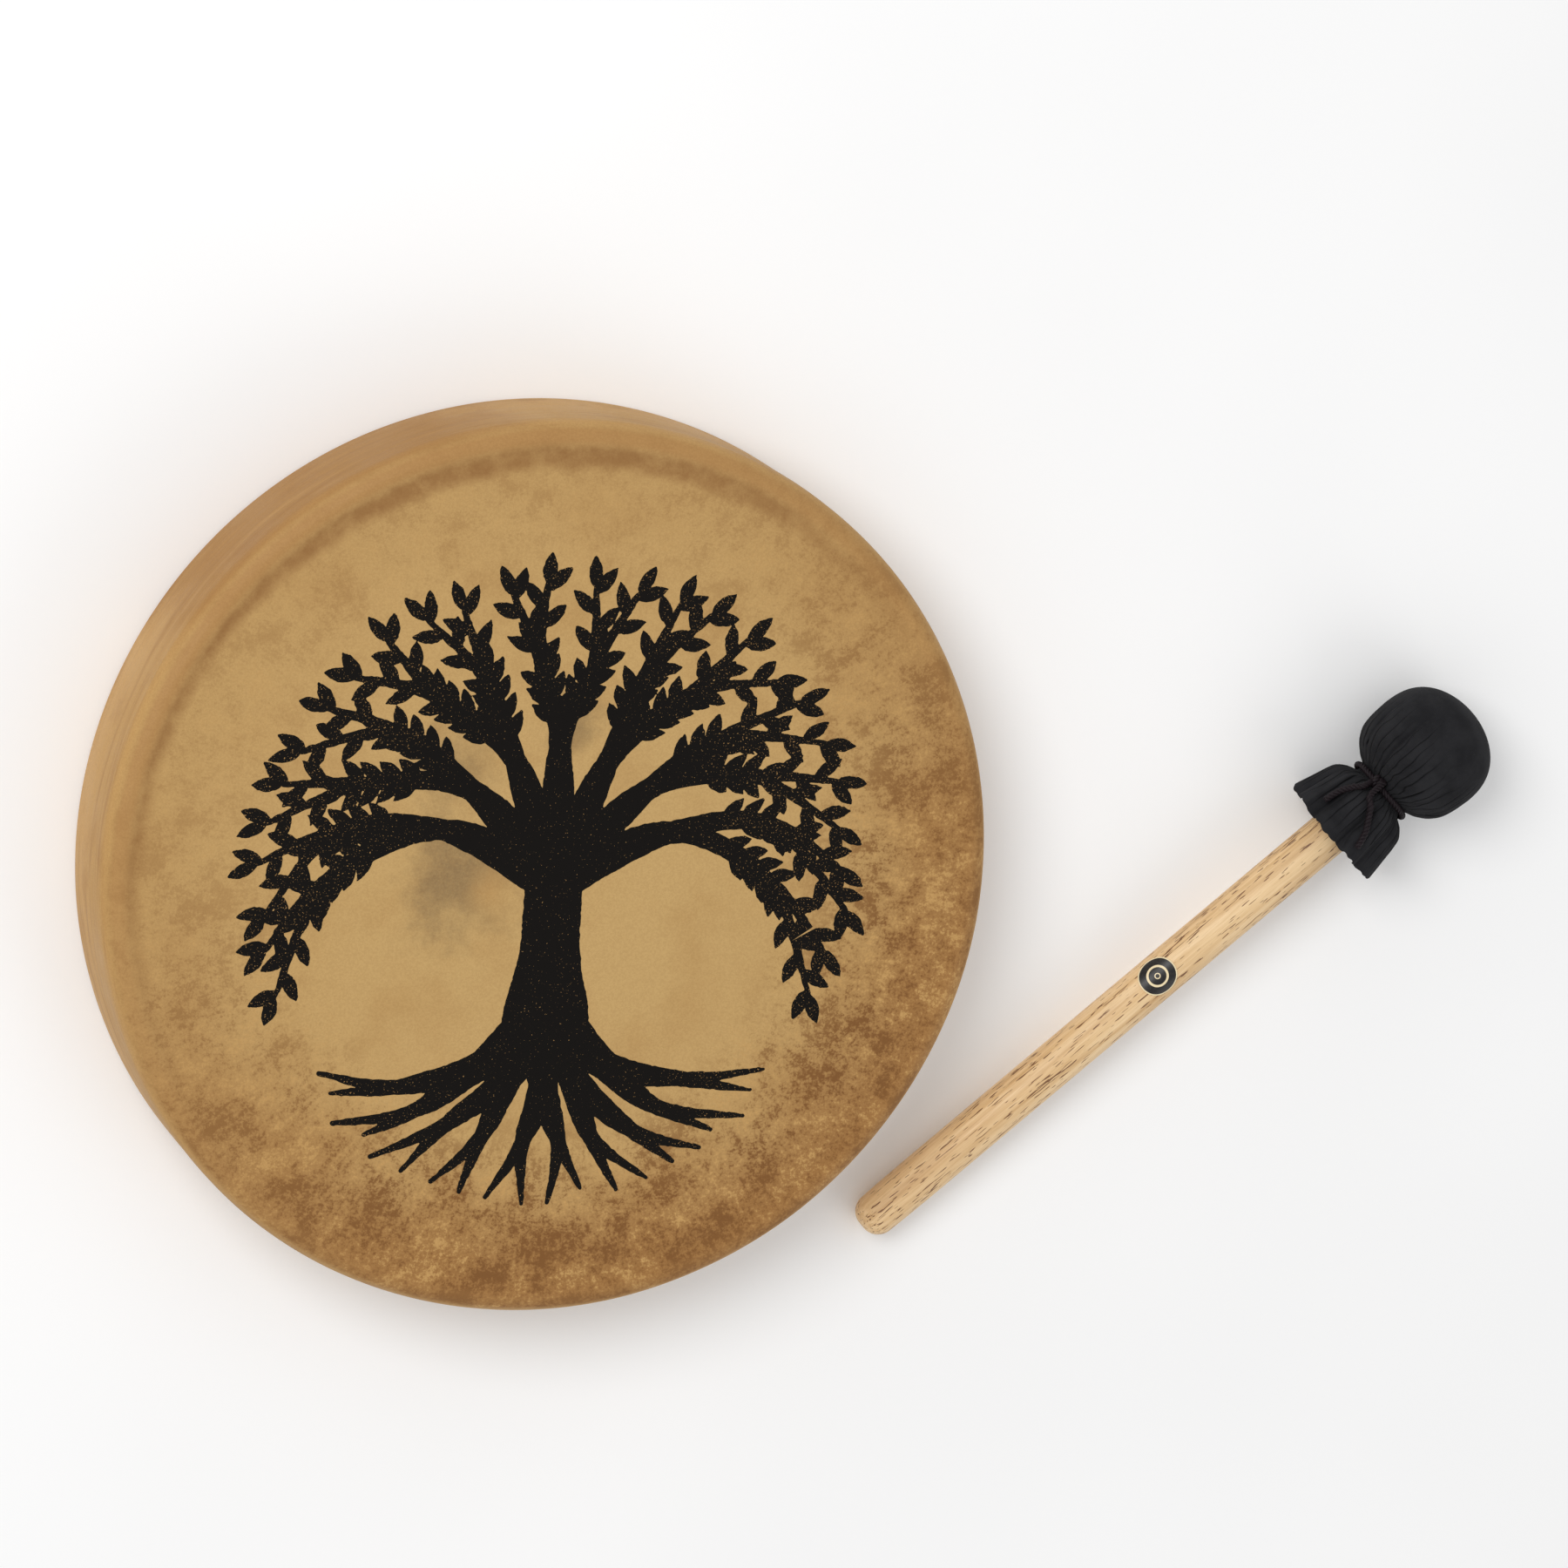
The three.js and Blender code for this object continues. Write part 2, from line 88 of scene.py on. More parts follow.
def linear(colour: str) -> tuple[float, float, float, float]:
    """Turn an sRGB hex colour into linear light.

    Args:
        colour: six hex digits after a hash sign.

    Returns:
        Red, green, blue and an alpha of 1.
    """
    parts = [int(colour[i : i + 2], 16) / 255 for i in (1, 3, 5)]
    light = [c / 12.92 if c <= 0.04045 else ((c + 0.055) / 1.055) ** 2.4 for c in parts]
    return (light[0], light[1], light[2], 1.0)


def add_node(tree: bpy.types.NodeTree, kind: str, inputs: dict | None = None, **settings) -> bpy.types.Node:
    """Add one shader node with its settings, values and links.

    Args:
        tree: the material's node tree.
        kind: the node's type name.
        inputs: a value or a link for each input, by its name or number.
        **settings: the node's own settings.

    Returns:
        The new node.
    """
    made = tree.nodes.new(kind)
    for name, value in settings.items():
        setattr(made, name, value)
    for key, value in (inputs or {}).items():
        if isinstance(value, Link):
            tree.links.new(value, made.inputs[key])
        else:
            made.inputs[key].default_value = value
    return made


class Finish:
    """A material under construction: its tree, its shader and its place in millimetres."""

    def __init__(
        self, name: str, roughness: float, metallic: float = 0.0, lies: Matrix | None = None
    ) -> None:
        """Start a material with a plain shader.

        Args:
            name: what the material is and how it was made.
            roughness: the shader's own roughness.
            metallic: 1 for a metal.
            lies: the frame that its patterns follow, or the object's own.
        """
        self.material = bpy.data.materials.new(name)
        self.material.use_nodes = True
        self.tree = self.material.node_tree
        self.shader = next(n for n in self.tree.nodes if n.type == "BSDF_PRINCIPLED")
        self.shader.inputs["Roughness"].default_value = roughness
        self.shader.inputs["Metallic"].default_value = metallic
        place = self.add("ShaderNodeTexCoord").outputs["Object"]
        if lies is not None:
            inputs = {"Vector": place, "Location": lies.translation, "Rotation": lies.to_euler()}
            place = self.add("ShaderNodeMapping", inputs, vector_type="TEXTURE").outputs[0]
        scaled = self.add("ShaderNodeVectorMath", {0: place, "Scale": 1 / MM}, operation="SCALE")
        self.place = scaled.outputs[0]

    def add(self, kind: str, inputs: dict | None = None, **settings) -> bpy.types.Node:
        """Add one node to this material."""
        return add_node(self.tree, kind, inputs, **settings)

    def math(self, operation: str, *values: float | Link) -> Link:
        """Work out one number from others."""
        return self.add("ShaderNodeMath", dict(enumerate(values)), operation=operation).outputs[0]

    def stretched(self, x: float, y: float, z: float) -> Link:
        """The place with each axis scaled, for a pattern that runs one way."""
        return self.add(
            "ShaderNodeVectorMath", {0: self.place, 1: (x, y, z)}, operation="MULTIPLY"
        ).outputs[0]

    def noise(
        self, size: float, detail: float = 3.0, vector: Link | None = None, rough: float = 0.55
    ) -> Link:
        """Soft noise from 0 to 1.

        Args:
            size: the width of its largest spots, in millimetres.
            detail: how many finer layers it has.
            vector: where to look it up, or the place.
            rough: how strong the finer layers are.

        Returns:
            The noise value.
        """
        inputs = {"Vector": vector or self.place, "Scale": 1 / size, "Detail": detail, "Roughness": rough}
        return self.add("ShaderNodeTexNoise", inputs).outputs[0]

    def step(self, value: Link, low: float, high: float, to_low: float = 0.0, to_high: float = 1.0) -> Link:
        """A smooth step of a value.

        Args:
            value: what is measured.
            low: where the step starts.
            high: where it ends.
            to_low: the result before it.
            to_high: the result after it.

        Returns:
            The stepped value.
        """
        inputs = {0: value, 1: low, 2: high, 3: to_low, 4: to_high}
        return self.add("ShaderNodeMapRange", inputs, interpolation_type="SMOOTHSTEP").outputs[0]

    def mix(self, share: float | Link, first: str | Link, second: str | Link, blend: str = "MIX") -> Link:
        """Mix two colours.

        Args:
            share: how much of the second shows.
            first: a hex colour or a link.
            second: a hex colour or a link.
            blend: the way they mix.

        Returns:
            The mixed colour.
        """
        colours = [linear(c) if isinstance(c, str) else c for c in (first, second)]
        inputs = {0: share, 6: colours[0], 7: colours[1]}
        return self.add("ShaderNodeMix", inputs, data_type="RGBA", blend_type=blend).outputs[2]

    def colour(self, value: Link) -> None:
        """Give the shader its colour."""
        self.tree.links.new(value, self.shader.inputs["Base Color"])

    def roughness(self, value: Link) -> None:
        """Give the shader a roughness that varies."""
        self.tree.links.new(value, self.shader.inputs["Roughness"])

    def bump(self, height: Link, depth: float, strength: float = 1.0, over: Link | None = None) -> Link:
        """Raise the surface by a height from 0 to 1.

        Args:
            height: the height.
            depth: how high 1 is, in millimetres.
            strength: how much of it shows.
            over: another bump's normal that this one lies on.

        Returns:
            The normal, which the shader now uses.
        """
        inputs = {"Height": height, "Distance": depth * MM, "Strength": strength}
        if over is not None:
            inputs["Normal"] = over
        normal = self.add("ShaderNodeBump", inputs).outputs[0]
        self.tree.links.new(normal, self.shader.inputs["Normal"])
        return normal


@dataclass(frozen=True)
class GoatParchment:
    """Goat parchment, limed, scraped and dried under tension. Mottled tan, dull, darker to the rim."""

    head: str = "#c3a067"
    warm: str = "#ba935a"
    rim: str = "#9c6f3c"
    wall: str = "#ba9158"
    wall_low: str = "#c79e66"
    # painted shade for the band inside the hoop
    groove: str = "#8a5f32"
    # painted highlight for the ridge over the hoop's edge, lighter than the band
    ridge: str = "#ab7f4b"
    stain: str = "#7d5328"
    pale: str = "#c49a5e"
    roughness: float = 0.58
    specular: float = 0.22
    grain: float = 0.9  # mm between the hair pores
    sponge: float = 2.1  # mm, the dabs of the mottling
    cloud: float = 34.0  # mm, the thick and thin places of the skin
    height: float = 59.0  # mm, of the head over the floor
    smudges: tuple[tuple, ...] = (  # where each lies, its radius, its colour and how much shows
        ((-40.0, -4.0), 33.0, "#725c40", 0.66),
        ((-48.0, 42.0), 25.0, "#725c40", 0.5),
        ((3.0, 64.0), 16.0, "#725c40", 0.55),
        ((-28.0, -8.0), 14.0, "#c49a5e", 0.6),
    )

    def facing(self, make: Finish, radius: Link, degrees: float) -> Link:
        """How squarely a place lies in one direction from the middle, from -1 to 1."""
        towards = (math.cos(math.radians(degrees)), math.sin(math.radians(degrees)), 0.0)
        reach = make.add("ShaderNodeVectorMath", {0: make.place, 1: towards}, operation="DOT_PRODUCT")
        return make.math("DIVIDE", reach.outputs[1], make.math("MAXIMUM", radius, 1.0))

    def rings(self, make: Finish, colour: Link, radius: Link) -> Link:
        """Paint shade into the dark band inside the hoop and a painted highlight onto the ridge on it, both
        strongest at the upper left.
        """
        upper_left = make.step(self.facing(make, radius, 118), -0.1, 0.85)
        wander = make.math("MULTIPLY_ADD", make.noise(23, 4, rough=0.65), 7.0, -3.5)
        edge = make.math("ADD", radius, wander)
        inner = make.step(self.facing(make, radius, 95), 0.55, 1.0, 172.5, 168.5)
        start = make.math("SUBTRACT", edge, inner)
        shade_band = make.math("MULTIPLY", make.step(start, 0.0, 7.0), make.step(edge, 184.0, 178.5))
        uneven = make.step(make.noise(15, 4, rough=0.7), 0.3, 0.62, 0.55, 1.0)
        strength = make.math("MULTIPLY", uneven, make.math("MULTIPLY_ADD", upper_left, 0.7, 0.1))
        shade_band = make.math("MULTIPLY", shade_band, strength)
        # painted shade: the band where the hide sinks inside the hoop, strongest at the upper left
        colour = make.mix(shade_band, colour, self.groove)
        # painted highlight: the ridge over the hoop's edge, lighter than the band, strongest at the upper
        # left
        crest = make.math("MULTIPLY", make.step(radius, 179.5, 183.5), make.step(radius, 189.8, 186.5))
        crest = make.math("MULTIPLY", crest, make.math("MULTIPLY_ADD", upper_left, 0.5, 0.25))
        return make.mix(crest, colour, self.ridge)

    def wall_colour(self, make: Finish, colour: Link, radius: Link) -> Link:
        """Shade the wall: paler to its foot, with streaks that run round it and a darker stretch."""
        height = make.add("ShaderNodeSeparateXYZ", {0: make.place}).outputs[2]
        streaks = make.noise(11, 4, make.stretched(0.12, 0.12, 2.2), 0.65)
        patches = make.noise(26, 4, make.stretched(0.7, 0.7, 1.3), 0.65)
        wall = make.mix(make.step(height, 44, 8), self.wall, self.wall_low)
        turned = self.facing(make, radius, 124)
        shaded = make.step(make.math("ADD", turned, make.math("MULTIPLY", patches, 0.16)), 0.93, 1.04)
        wall = make.mix(make.math("MULTIPLY", shaded, 0.62), wall, self.rim)
        wall = make.mix(make.step(streaks, 0.5, 0.7, 0, 0.5), wall, self.rim)
        wall = make.mix(make.step(streaks, 0.46, 0.3, 0, 0.35), wall, self.pale)
        wall = make.mix(make.step(patches, 0.52, 0.72, 0, 0.4), wall, self.rim)
        on_wall = make.math("MULTIPLY", make.step(radius, 186.5, 190), make.step(height, 58.5, 54))
        return make.mix(on_wall, colour, wall)

    def smudge(
        self, make: Finish, colour: Link, at: tuple[float, float], size: float, tint: str, share: float
    ) -> Link:
        """Put one grainy smudge with a ragged edge on the head.

        Args:
            make: the material.
            colour: the hide's colour so far.
            at: the smudge's middle.
            size: its radius.
            tint: its colour.
            share: how much of it shows.

        Returns:
            The colour with the smudge.
        """
        middle = (*at, self.height)
        away = make.add("ShaderNodeVectorMath", {0: make.place, 1: middle}, operation="DISTANCE").outputs[1]
        ragged = make.math("ADD", away, make.math("MULTIPLY", make.noise(21, 6, rough=0.7), size * 1.9))
        grainy = make.math("MULTIPLY_ADD", make.noise(1.6, 3, rough=0.8), 0.9, 0.55)
        cover = make.step(ragged, size * 2.0, size * 1.0, 0, share)
        return make.mix(make.math("MULTIPLY", cover, grainy), colour, tint)

    def mottled(self, make: Finish, colour: Link, radius: Link, lower: Link) -> Link:
        """Dab the rim with a sponge: thick along the bottom and the right, thin elsewhere."""
        wander = make.math("MULTIPLY", make.noise(30, 3), 40.0)
        rimward = make.step(make.math("ADD", radius, wander), 112, 176)
        where = make.math("MULTIPLY", rimward, make.math("MULTIPLY_ADD", lower, 0.8, 0.2))
        dabs = make.noise(self.sponge, 4, rough=0.8)
        broad = make.noise(17, 5, rough=0.68)
        dark = make.math("ADD", make.math("MULTIPLY", dabs, 0.85), broad)
        colour = make.mix(make.math("MULTIPLY", make.step(dark, 0.89, 1.07), where), colour, self.stain)
        return make.mix(make.math("MULTIPLY", make.step(dark, 0.88, 0.72), where), colour, self.pale)

    def make(self) -> bpy.types.Material:
        """Build the material.

        Returns:
            The finished material.
        """
        make = Finish("goat_parchment_dried_on_the_hoop", self.roughness)
        make.shader.inputs["Specular IOR Level"].default_value = self.specular
        level = make.stretched(1, 1, 0)
        radius = make.add("ShaderNodeVectorMath", {0: level}, operation="LENGTH").outputs[1]
        cloud = make.noise(self.cloud, 4, rough=0.6)
        lower = make.step(self.facing(make, radius, -60), -0.75, 0.85)
        worn = make.math("ADD", radius, make.math("MULTIPLY_ADD", cloud, 46.0, -23.0))
        colour = make.mix(make.step(worn, 40, 150, 0.0, 0.4), self.head, self.warm)
        low_share = make.math("MULTIPLY_ADD", lower, 0.8, 0.14)
        rimmed = make.math("MULTIPLY", make.step(worn, 112, 176), low_share)
        colour = make.mix(rimmed, colour, self.rim)
        colour = make.mix(make.step(cloud, 0.42, 0.7, 0, 0.2), colour, self.rim)
        colour = self.mottled(make, colour, radius, lower)
        for at, size, tint, share in self.smudges:
            colour = self.smudge(make, colour, at, size, tint, share)
        colour = self.rings(make, colour, radius)
        colour = self.wall_colour(make, colour, radius)
        specks = make.noise(self.grain, 2, rough=0.8)
        make.colour(make.mix(make.step(specks, 0.35, 0.65, 0.0, 0.16), colour, self.stain))
        make.roughness(make.step(cloud, 0.3, 0.7, self.roughness - 0.06, self.roughness + 0.09))
        fine = make.bump(specks, 0.12, 0.35)
        drawn = make.noise(7, 4, make.stretched(0.12, 0.12, 1.6))
        make.bump(make.math("MULTIPLY", drawn, make.step(radius, 186, 189.5)), 1.1, 0.5, fine)
        return make.material


@dataclass(frozen=True)
class PrintInk:
    """Screen ink, pressed onto the hide from a cut block. Flat black, with missed dots that show the hide."""

    ink: str = "#100d0b"
    hide: str = "#a98350"
    roughness: float = 0.7
    specular: float = 0.1
    speck: float = 0.8  # mm, the missed dots in the ink

    def make(self) -> bpy.types.Material:
        """Build the material.

        Returns:
            The finished material.
        """
        make = Finish("screen_ink_block_printed", self.roughness)
        make.shader.inputs["Specular IOR Level"].default_value = self.specular
        centred = make.add(
            "ShaderNodeVectorMath", {0: make.place, 1: (0.0, 20.0, -59.0)}, operation="ADD"
        ).outputs[0]
        squeezed = make.add(
            "ShaderNodeVectorMath", {0: centred, 1: (1 / 52, 1 / 92, 0.0)}, operation="MULTIPLY"
        ).outputs[0]
        from_trunk = make.add("ShaderNodeVectorMath", {0: squeezed}, operation="LENGTH").outputs[1]
        thin = make.step(from_trunk, 0.8, 1.9, 0.0, 0.05)
        dots = make.noise(self.speck, 2, rough=0.7)
        gaps = make.math("ADD", dots, thin)
        gaps = make.math("ADD", gaps, make.math("MULTIPLY", make.noise(9, 3, rough=0.7), 0.12))
        colour = make.mix(make.step(gaps, 0.745, 0.785, 0.0, 0.8), self.ink, self.hide)
        make.colour(colour)
        make.bump(dots, 0.05, 0.4)
        return make.material


@dataclass(frozen=True)
class BentWood:
    """Ash, steamed and bent to a ring, sanded. Long grain lines run round it and it is matt."""

    light: str = "#c79a62"
    dark: str = "#9c6e3c"
    roughness: float = 0.58
    ring: float = 1.6  # mm between growth rings

    def make(self) -> bpy.types.Material:
        """Build the material.

        Returns:
            The finished material.
        """
        make = Finish("ash_steam_bent_and_sanded", self.roughness)
        centre = drum_centre() / MM
        away = make.add(
            "ShaderNodeVectorMath", {0: make.place, 1: (-centre.x, -centre.y, 0.0)}, operation="ADD"
        ).outputs[0]
        flat = make.add("ShaderNodeVectorMath", {0: away, 1: (1, 1, 0)}, operation="MULTIPLY").outputs[0]
        radius = make.add("ShaderNodeVectorMath", {0: flat}, operation="LENGTH").outputs[1]
        around = make.add("ShaderNodeVectorMath", {0: flat}, operation="NORMALIZE").outputs[0]
        turn = make.add("ShaderNodeSeparateXYZ", {0: around})
        height = make.add("ShaderNodeSeparateXYZ", {0: make.place}).outputs[2]
        grain = make.add(
            "ShaderNodeCombineXYZ",
            {
                0: make.math("MULTIPLY", turn.outputs[0], 2.4),
                1: make.math("MULTIPLY", turn.outputs[1], 2.4),
                2: make.math("DIVIDE", height, self.ring * 2),
            },
        ).outputs[0]
        lines = make.add(
            "ShaderNodeTexNoise",
            {"Vector": grain, "W": make.math("DIVIDE", radius, self.ring * 2), "Scale": 1.0, "Detail": 5.0},
            noise_dimensions="4D",
        ).outputs[0]
        colour = make.mix(make.step(lines, 0.35, 0.65), self.light, self.dark)
        make.colour(colour)
        make.bump(lines, 0.2, 0.4)
        return make.material


@dataclass(frozen=True)
class PlatedSteel:
    """Nickel-plated steel wire, bent to a ring and welded. Bright, with fine scuffs."""

    tint: str = "#b9bbbd"
    scuff: str = "#8d8f92"
    roughness: float = 0.24

    def make(self) -> bpy.types.Material:
        """Build the material.

        Returns:
            The finished material.
        """
        make = Finish("steel_wire_nickel_plated", self.roughness, 1.0)
        scuffs = make.noise(2.2, 4, rough=0.7)
        make.colour(make.mix(make.step(scuffs, 0.5, 0.75), self.tint, self.scuff))
        make.roughness(make.step(scuffs, 0.4, 0.8, self.roughness, 0.42))
        make.bump(scuffs, 0.04, 0.3)
        return make.material


@dataclass(frozen=True)
class CottonLace:
    """Cotton cord, plied and twisted. Off-white, matt and slightly hairy."""

    light: str = "#dccdab"
    dark: str = "#a58f69"
    roughness: float = 0.92
    fibre: float = 0.35  # mm, drawn coarser than a cotton fibre so that it shows

    def make(self) -> bpy.types.Material:
        """Build the material.

        Returns:
            The finished material.
        """
        make = Finish("cotton_cord_plied", self.roughness)
        make.shader.inputs["Sheen Weight"].default_value = 0.25
        make.shader.inputs["Sheen Roughness"].default_value = 0.5
        fibres = make.noise(self.fibre, 3, rough=0.7)
        grime = make.noise(14, 3)
        colour = make.mix(make.step(fibres, 0.4, 0.7), self.light, self.dark)
        make.colour(make.mix(make.step(grime, 0.5, 0.75, 0, 0.45), colour, self.dark))
        make.bump(fibres, 0.12, 0.6)
        return make.material


@dataclass(frozen=True)
class SandedDowel:
    """Light hardwood, turned to a dowel and sanded. Straight grain with short open pores, satin."""

    light: str = "#efcfa0"
    middle: str = "#dfba87"
    dark: str = "#bd935f"
    pore: str = "#6b401f"
    roughness: float = 0.5
    ring: float = 2.6  # mm between growth rings
    pore_width: float = 0.35  # mm
    pore_length: float = 3.6  # mm

    def make(self, lies: Matrix) -> bpy.types.Material:
        """Build the material.

        Args:
            lies: the beater's own frame.

        Returns:
            The finished material.
        """
        make = Finish("hardwood_dowel_turned_and_sanded", self.roughness, lies=lies)
        make.shader.inputs["IOR"].default_value = 1.5
        rings = make.noise(self.ring, 4, make.stretched(1, 1, 0.035), 0.62)
        broad = make.noise(9, 2, make.stretched(1, 1, 0.12))
        fine = make.noise(0.5, 2, make.stretched(1, 1, 0.05), 0.7)
        colour = make.mix(make.step(rings, 0.34, 0.6), self.light, self.middle)
        colour = make.mix(make.step(rings, 0.55, 0.74, 0, 0.75), colour, self.dark)
        colour = make.mix(make.step(broad, 0.45, 0.75, 0, 0.35), colour, self.dark)
        colour = make.mix(make.step(fine, 0.45, 0.75, 0, 0.3), colour, self.dark)
        along = self.pore_width / self.pore_length
        pores = make.noise(self.pore_width * 2.1, 1, make.stretched(1, 1, along), 0.5)
        clusters = make.math("MULTIPLY", make.step(rings, 0.42, 0.6), 0.09)
        open_pores = make.step(make.math("ADD", pores, clusters), 0.675, 0.715)
        make.colour(make.mix(make.math("MULTIPLY", open_pores, 0.9), colour, self.pore))
        sunk = make.math("SUBTRACT", make.math("MULTIPLY", fine, 0.25), open_pores)
        make.bump(sunk, 0.14, 0.5)
        return make.material


@dataclass(frozen=True)
class WoolFelt:
    """Wool felt, cut and rolled into a pad. Pale, matt and fuzzy."""

    light: str = "#d4cdbf"
    dark: str = "#a39a88"
    roughness: float = 0.97
    fibre: float = 0.8  # mm, the tufts

    def make(self, lies: Matrix) -> bpy.types.Material:
        """Build the material.

        Args:
            lies: the beater's own frame.

        Returns:
            The finished material.
        """
        make = Finish("wool_felt_rolled", self.roughness, lies=lies)
        make.shader.inputs["Sheen Weight"].default_value = 0.4
        tufts = make.noise(self.fibre, 5, rough=0.75)
        make.colour(make.mix(make.step(tufts, 0.35, 0.7), self.light, self.dark))
        make.bump(tufts, 0.5, 0.7)
        return make.material


@dataclass(frozen=True)
class StretchJersey:
    """Cotton jersey, dyed black and drawn tight. Soft and matt, with fine creases that run from the tie,
    darkened with painted shade.
    """

    tight: str = "#29292b"
    deep: str = "#202022"
    # crease: painted shade in the fine creases, near black
    crease: str = "#020203"
    lint: str = "#3b3b3d"
    roughness: float = 0.9
    loop: float = 0.75  # mm between the knitted loops, drawn coarser so that they show
    creases: int = 19  # round the neck
    neck: float = 293.0  # mm along the beater
    reach: float = 36.0  # mm, how far the creases run

    def creased(self, make: Finish) -> Link:
        """The fine creases that the tie draws in the cloth, 1 in the middle of one."""
        split = make.add("ShaderNodeSeparateXYZ", {0: make.place})
        turn = make.math("ARCTAN2", split.outputs[1], split.outputs[0])
        wander = make.math("MULTIPLY", make.noise(12, 2, make.stretched(1, 1, 0.35)), 7.0)
        wave = make.math("SINE", make.math("MULTIPLY_ADD", turn, float(self.creases), wander))
        line = make.math("POWER", make.math("SUBTRACT", 1.0, make.math("ABSOLUTE", wave)), 6.0)
        away = make.math("ABSOLUTE", make.math("SUBTRACT", split.outputs[2], self.neck))
        ragged = make.math("MULTIPLY_ADD", make.noise(6, 2, make.stretched(1, 1, 0.15)), -34.0, 17.0)
        near = make.step(make.math("ADD", away, ragged), self.reach, self.reach * 0.25)
        return make.math("MULTIPLY", line, near)

    def make(self, lies: Matrix) -> bpy.types.Material:
        """Build the material.

        Args:
            lies: the beater's own frame.

        Returns:
            The finished material.
        """
        make = Finish("cotton_jersey_dyed_black", self.roughness, lies=lies)
        make.shader.inputs["Sheen Weight"].default_value = 0.02
        make.shader.inputs["Sheen Roughness"].default_value = 0.5
        make.shader.inputs["Specular IOR Level"].default_value = 0.06
        soft = make.noise(11, 4)
        lint = make.noise(0.8, 3, rough=0.8)
        wale = make.add(
            "ShaderNodeTexWave",
            {
                "Vector": make.place,
                "Scale": 1 / self.loop / 3,
                "Distortion": 3.0,
                "Detail": 2.0,
                "Detail Scale": 1.4,
            },
            wave_type="BANDS",
            bands_direction="Z",
        ).outputs[1]
        creases = self.creased(make)
        colour = make.mix(make.step(soft, 0.35, 0.7), self.tight, self.deep)
        colour = make.mix(make.step(lint, 0.55, 0.8, 0, 0.35), colour, self.lint)
        # painted shade: the creases darkened towards near black
        make.colour(make.mix(make.math("MULTIPLY", creases, 0.92), colour, self.crease))
        loops = make.math("MULTIPLY_ADD", wale, 0.5, lint)
        knit = make.bump(loops, 0.1, 0.45)
        make.bump(make.math("SUBTRACT", 1.0, creases), 0.9, 0.9, knit)
        return make.material


@dataclass(frozen=True)
class WaxedCord:
    """Polyester cord, plied and waxed black with a purple cast. Slightly glossy on each ply."""

    light: str = "#21171c"
    dark: str = "#090608"
    roughness: float = 0.6

    def make(self, lies: Matrix) -> bpy.types.Material:
        """Build the material.

        Args:
            lies: the beater's own frame.

        Returns:
            The finished material.
        """
        make = Finish("polyester_cord_plied_black", self.roughness, lies=lies)
        make.shader.inputs["Specular IOR Level"].default_value = 0.2
        fibres = make.noise(0.4, 4, rough=0.7)
        make.colour(make.mix(make.step(fibres, 0.35, 0.7), self.light, self.dark))
        make.bump(fibres, 0.1, 0.6)
        return make.material


@dataclass(frozen=True)
class BadgeVinyl:
    """Vinyl film, printed in one colour and cut round. Smooth and faintly glossy."""

    tint: str
    label: str
    roughness: float = 0.34

    def make(self) -> bpy.types.Material:
        """Build the material.

        Returns:
            The finished material.
        """
        make = Finish("vinyl_film_printed_" + self.label, self.roughness)
        dust = make.noise(1.2, 3, rough=0.7)
        make.colour(make.mix(make.step(dust, 0.45, 0.8, 0, 0.12), self.tint, "#8f8471"))
        make.roughness(make.step(dust, 0.3, 0.8, self.roughness, self.roughness + 0.14))
        make.bump(dust, 0.02, 0.3)
        return make.material


@dataclass(frozen=True)
class PaperSweep:
    """Seamless studio paper, white and matt."""

    tint: str = "#fefefe"

    def make(self) -> bpy.types.Material:
        """Build the material."""
        make = Finish("studio_paper_sweep", 0.9)
        make.shader.inputs["Specular IOR Level"].default_value = 0.1
        make.colour(make.mix(make.step(make.noise(400, 2), 0.3, 0.7), self.tint, "#fafafa"))
        return make.material


# ---- Meshes ----


def new_piece(
    name: str,
    points: np.ndarray | Sequence,
    faces: Sequence[Sequence[int]],
    materials: bpy.types.Material | Sequence[bpy.types.Material],
    place: Matrix | None = None,
    smooth: bool = True,
) -> bpy.types.Object:
    """Make a mesh object from points in millimetres.

    Args:
        name: the piece's name.
        points: its points.
        faces: the numbers of each face's points.
        materials: its material, or several.
        place: where its own frame lies.
        smooth: whether its faces are shaded smooth.

    Returns:
        The new object.
    """
    mesh = bpy.data.meshes.new(name)
    mesh.from_pydata([tuple(p) for p in np.asarray(points, float) * MM], [], [tuple(f) for f in faces])
    mesh.update()
    for material in [materials] if isinstance(materials, bpy.types.Material) else materials:
        mesh.materials.append(material)
    if smooth:
        mesh.shade_smooth()
    made = bpy.data.objects.new(name, mesh)
    bpy.context.scene.collection.objects.link(made)
    if place is not None:
        made.matrix_world = place
    return made


def laid(points: Sequence, place: Matrix) -> np.ndarray:
    """Carry points in millimetres from a piece's own frame to the model's."""
    turned = np.array(place.to_3x3())
    return np.array([tuple(p) for p in points], float) @ turned.T + np.array(place.translation) / MM


def settle(piece: bpy.types.Object) -> None:
    """Apply a piece's modifiers to its mesh."""
    bpy.context.view_layer.update()
    seen = piece.evaluated_get(bpy.context.evaluated_depsgraph_get())
    mesh = bpy.data.meshes.new_from_object(seen)
    piece.modifiers.clear()
    piece.data = mesh


def thicken(piece: bpy.types.Object, thickness: float, outward: bool = False) -> None:
    """Give a surface an even thickness, inwards unless told otherwise."""
    shell = piece.modifiers.new("thickness", "SOLIDIFY")
    shell.thickness = thickness * MM
    shell.offset = 1 if outward else -1
    shell.use_even_offset = True
    settle(piece)


def outfit(piece: bpy.types.Object, body: Body, slot: Slot, *nodes: str) -> bpy.types.Object:
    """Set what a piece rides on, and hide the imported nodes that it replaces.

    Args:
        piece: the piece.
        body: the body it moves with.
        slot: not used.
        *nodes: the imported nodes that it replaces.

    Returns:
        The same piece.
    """
    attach(piece, body.value)
    if nodes:
        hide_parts(*nodes)
    log.info("%s: %d faces", piece.name, len(piece.data.polygons))
    return piece


